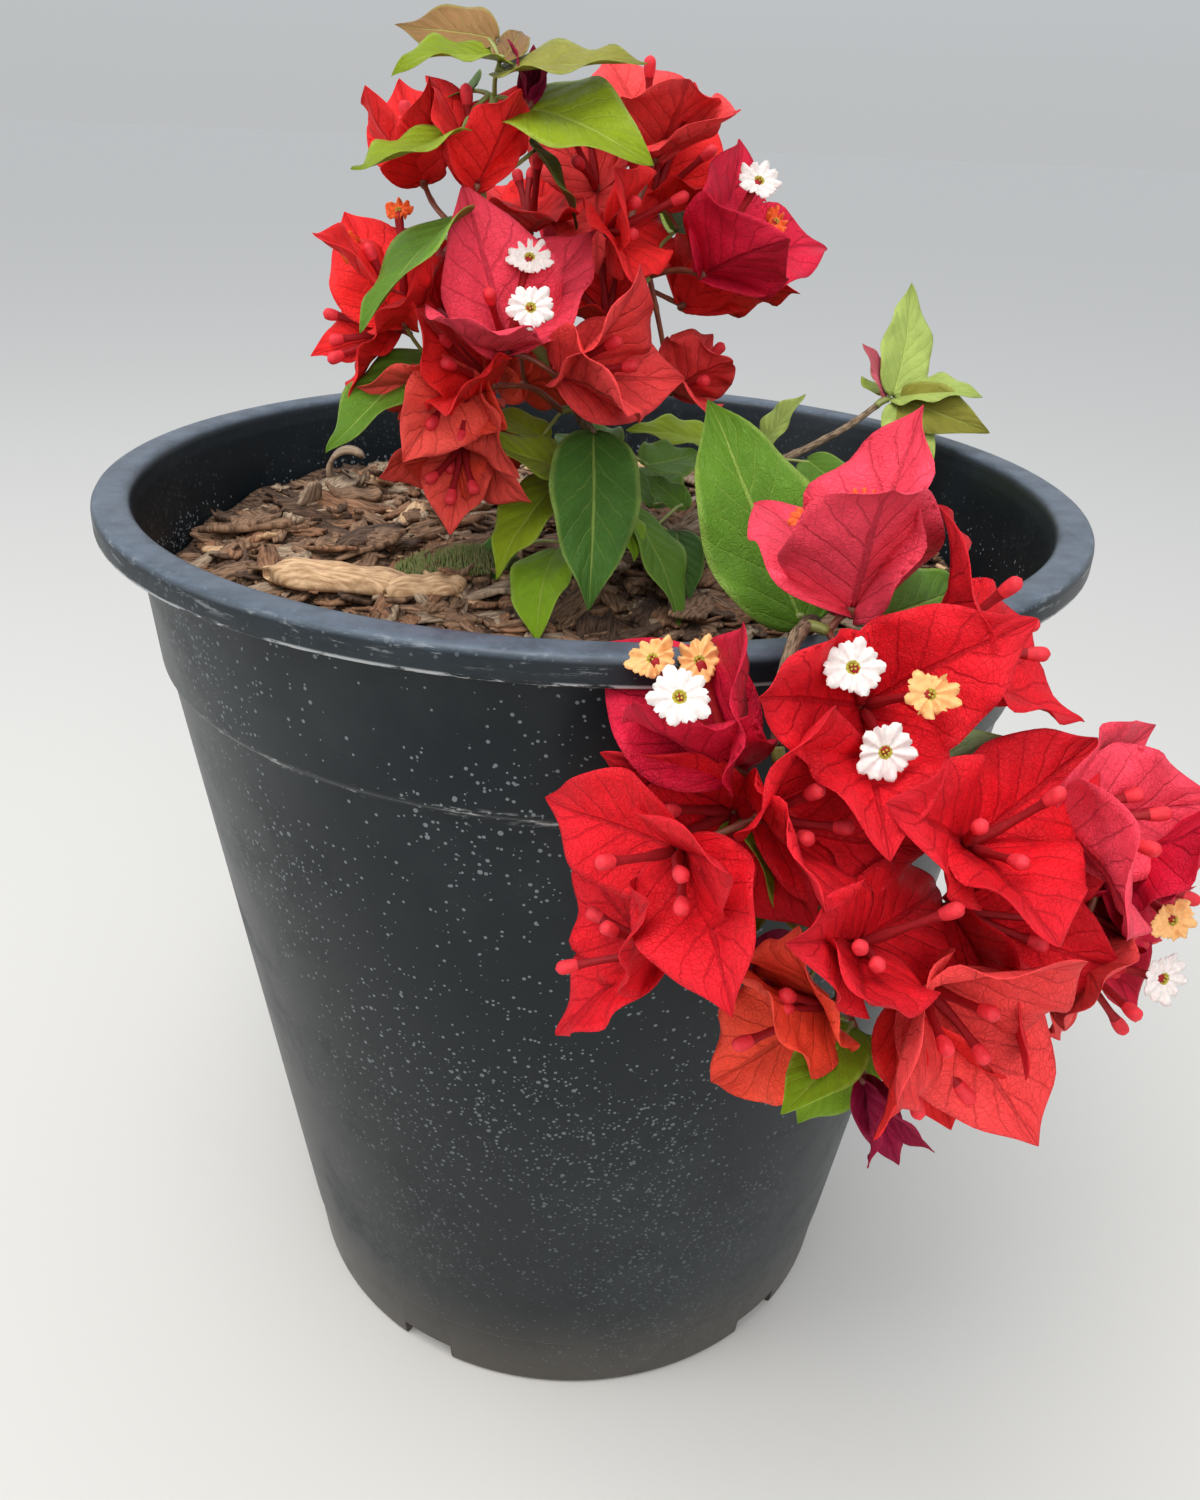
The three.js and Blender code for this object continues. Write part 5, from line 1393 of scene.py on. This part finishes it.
# %% Growth: twigs
TWIG_BOW = dict(rise=0.12, sway=0.1)
TWIG_SIDES, TWIG_RINGS = 10, 0.02
TWIG_ROWS_PER_MM, FEWEST_ROWS = 0.7, 6
WOOD_STEPS = 6
GREEN_TWIG, RED_TWIG = 0, 1


def grow_twig(pile, wood, target, radii, seed, paint=GREEN_TWIG):
    """A twig from the nearest wood to the target, which then is wood itself."""
    start = min(wood, key=lambda point: np.linalg.norm(point - target))
    reach = np.linalg.norm(start - target)
    middle = (start + target) / 2
    middle = middle + [TWIG_BOW["sway"] * reach * between(seed + 0.5, -1, 1), 0,
                       TWIG_BOW["rise"] * reach * between(seed, 0.2, 1)]
    at = smooth_path([start, middle, target])
    wood.extend(at(k / WOOD_STEPS) for k in range(1, WOOD_STEPS + 1))
    rows = max(FEWEST_ROWS, int(reach * TWIG_ROWS_PER_MM))
    path, length = even_points([start, middle, target], rows)
    rings = bark_relief(length, rows, TWIG_SIDES, TWIG_RINGS, seed)
    pile.add(*tube(path, np.linspace(*radii, rows), TWIG_SIDES, rings), paint)


print("twig finishes:", len(rind_finishes))

# %% [markdown]
# A head is a small red-brown cup with three bracts, each with its flower in front of it. The bracts
# turn their inner side to the head's own axis, which lies between their directions and leans a
# little towards the viewer.

# %% Growth: heads
BRACT = dict(ratio=0.84, bud_ratio=0.55, fold=20, bend=(-0.5, 0.45), facing=0.6, root=0.8)
BRACT_FORM = dict(wave=0.05, curl=0.11, lobe=0.08, buckle=0.011)
HEAD_TWIG = (0.85, 0.7)
CUP_PLACES, CUP_RADII = (-1.6, -0.4, 1.0, 1.8), (0.7, 1.4, 1.3, 0.6)


def grow_head(piles, wood, head, seed, aims):
    place, ways, length, letters, tint = head[:5]
    behind = len(head) > 5
    centre = np.array(place, float)
    grow_twig(piles["twigs"], wood, centre, HEAD_TWIG, seed, RED_TWIG)
    ways = [direction(*way, behind) for way in ways]
    towards = direction(0, 90, behind)
    axis = unit(sum(ways) + BRACT["facing"] * towards)
    paint = list(BRACT_TINTS).index(tint)
    cup = centre + np.outer(CUP_PLACES, axis)
    piles["twigs"].add(*tube(cup, CUP_RADII, TWIG_SIDES), RED_TWIG)
    for k, way in enumerate(ways):
        bend = between(seed + k * 5, *BRACT["bend"])
        ratio = BRACT["bud_ratio" if letters == "nnn" else "ratio"]
        grown_length = length * between(seed + k * 3, 0.97, 1.03)
        shape = blade(centre + way * BRACT["root"], way, axis, grown_length, ratio, BRACT["fold"],
                      bend,
                      seed + 7.1 * k, **BRACT_FORM)
        piles["bracts"].add(*shape, paint)
        if letters[k] == "n":
            continue
        out = unit(way * TUBE["along"] + axis * TUBE["out"])
        reach = between(seed + 9 * k, TUBE["shortest"], TUBE["longest"])
        if k in aims:
            out, reach = direction(*aims[k][:2], behind), aims[k][2]
        tip = flower_tube(piles["flowers"], centre, out, reach, letters[k] != "b", seed + k)
        if letters[k] != "b":
            facing = unit(out + towards * FACE_FACING)
            star(piles["flowers"], tip, facing, between(seed + k, 0, 1), letters[k], seed + k)


print("bract and leaf colours:", len(BRACT_TINTS), len(LEAF_TINTS))

# %% [markdown]
# A leaf turns its face up and towards the viewer before it is rolled about its own length. A whole
# mass is then one collar at its bough, its heads, its leaves and its further heads, in that order,
# because each new twig may start from those before it.

# %% Growth: leaves and whole masses
LEAF = dict(ratio=0.51, fold=14, bend=(0.05, 0.5), sunk=2, face=np.array([0, -0.5, 0.8]))
LEAF_FORM = dict(wave=0.034, curl=0.09, lobe=0.03, buckle=0.004)
LEAF_STALK, COLLAR_TWIG = (0.6, 0.5), (1.4, 1.1)
COLLAR, LIMB_SAMPLES = 5, 200
MASS_SEEDS, LEAF_SEEDS, EXTRA_SEEDS = 31, 20, 40


def grow_leaf(piles, wood, leaf, seed):
    place, way, length, roll, tint = leaf
    base, along = np.array(place, float), direction(*way)
    grow_twig(piles["twigs"], wood, base, LEAF_STALK, seed)
    face = spun(LEAF["face"], along, math.radians(roll))
    shape = blade(base - along * LEAF["sunk"], along, face, length + LEAF["sunk"], LEAF["ratio"],
                  LEAF["fold"], between(seed * 1.7, *LEAF["bend"]), seed, **LEAF_FORM)
    piles["leaves"].add(*shape, list(LEAF_TINTS).index(tint))


def grow_mass(number, mass):
    name, limb, share, heads, leaves = mass
    seed = number * MASS_SEEDS
    piles = {kind: Pile() for kind in ("twigs", "bracts", "leaves", "flowers")}
    places = np.array([grown[0] for grown in heads + leaves], float)
    limb_points, _ = even_points(LIMBS[limb][2], LIMB_SAMPLES)
    start = limb_points[round(share * (LIMB_SAMPLES - 1))]
    collar = start + COLLAR * unit(places.mean(axis=0) - start)
    grow_twig(piles["twigs"], [start], collar, COLLAR_TWIG, seed)
    wood = [collar]
    for k, head in enumerate(heads):
        grow_head(piles, wood, head, seed + k, AIMS.get((name, k + 1), {}))
    for k, leaf in enumerate(leaves):
        grow_leaf(piles, wood, leaf, seed + LEAF_SEEDS + k)
    for k, head in enumerate(EXTRA_HEADS.get(name, [])):
        grow_head(piles, wood, head, seed + EXTRA_SEEDS + k, {})
    return piles


grown = {mass[0]: grow_mass(number + 1, mass) for number, mass in enumerate(MASSES)}
print("grown:", ", ".join(grown))

# %% [markdown]
# Each mass becomes up to four meshes, one for each kind of thing: twigs, bracts, leaves and
# flowers. That keeps one finish family to a mesh, and all of them stand for the mass's one solid.

# %% Growth: from piles to meshes
FINISHES = {"twigs": rind_finishes, "bracts": bract_finishes, "leaves": leaf_finishes,
            "flowers": flower_finishes}
SLOTS = {"twigs": "green_stem", "bracts": "blossom", "leaves": "leaf", "flowers": "blossom"}
YOUNG = ("crown_tip", "back_shoot")
for name, piles in grown.items():
    for kind, pile in piles.items():
        if pile.count:
            slot = "young_leaf" if kind == "leaves" and name in YOUNG else SLOTS[kind]
            pile.build(f"{name}_{kind}", FINISHES[kind], slot, [name])
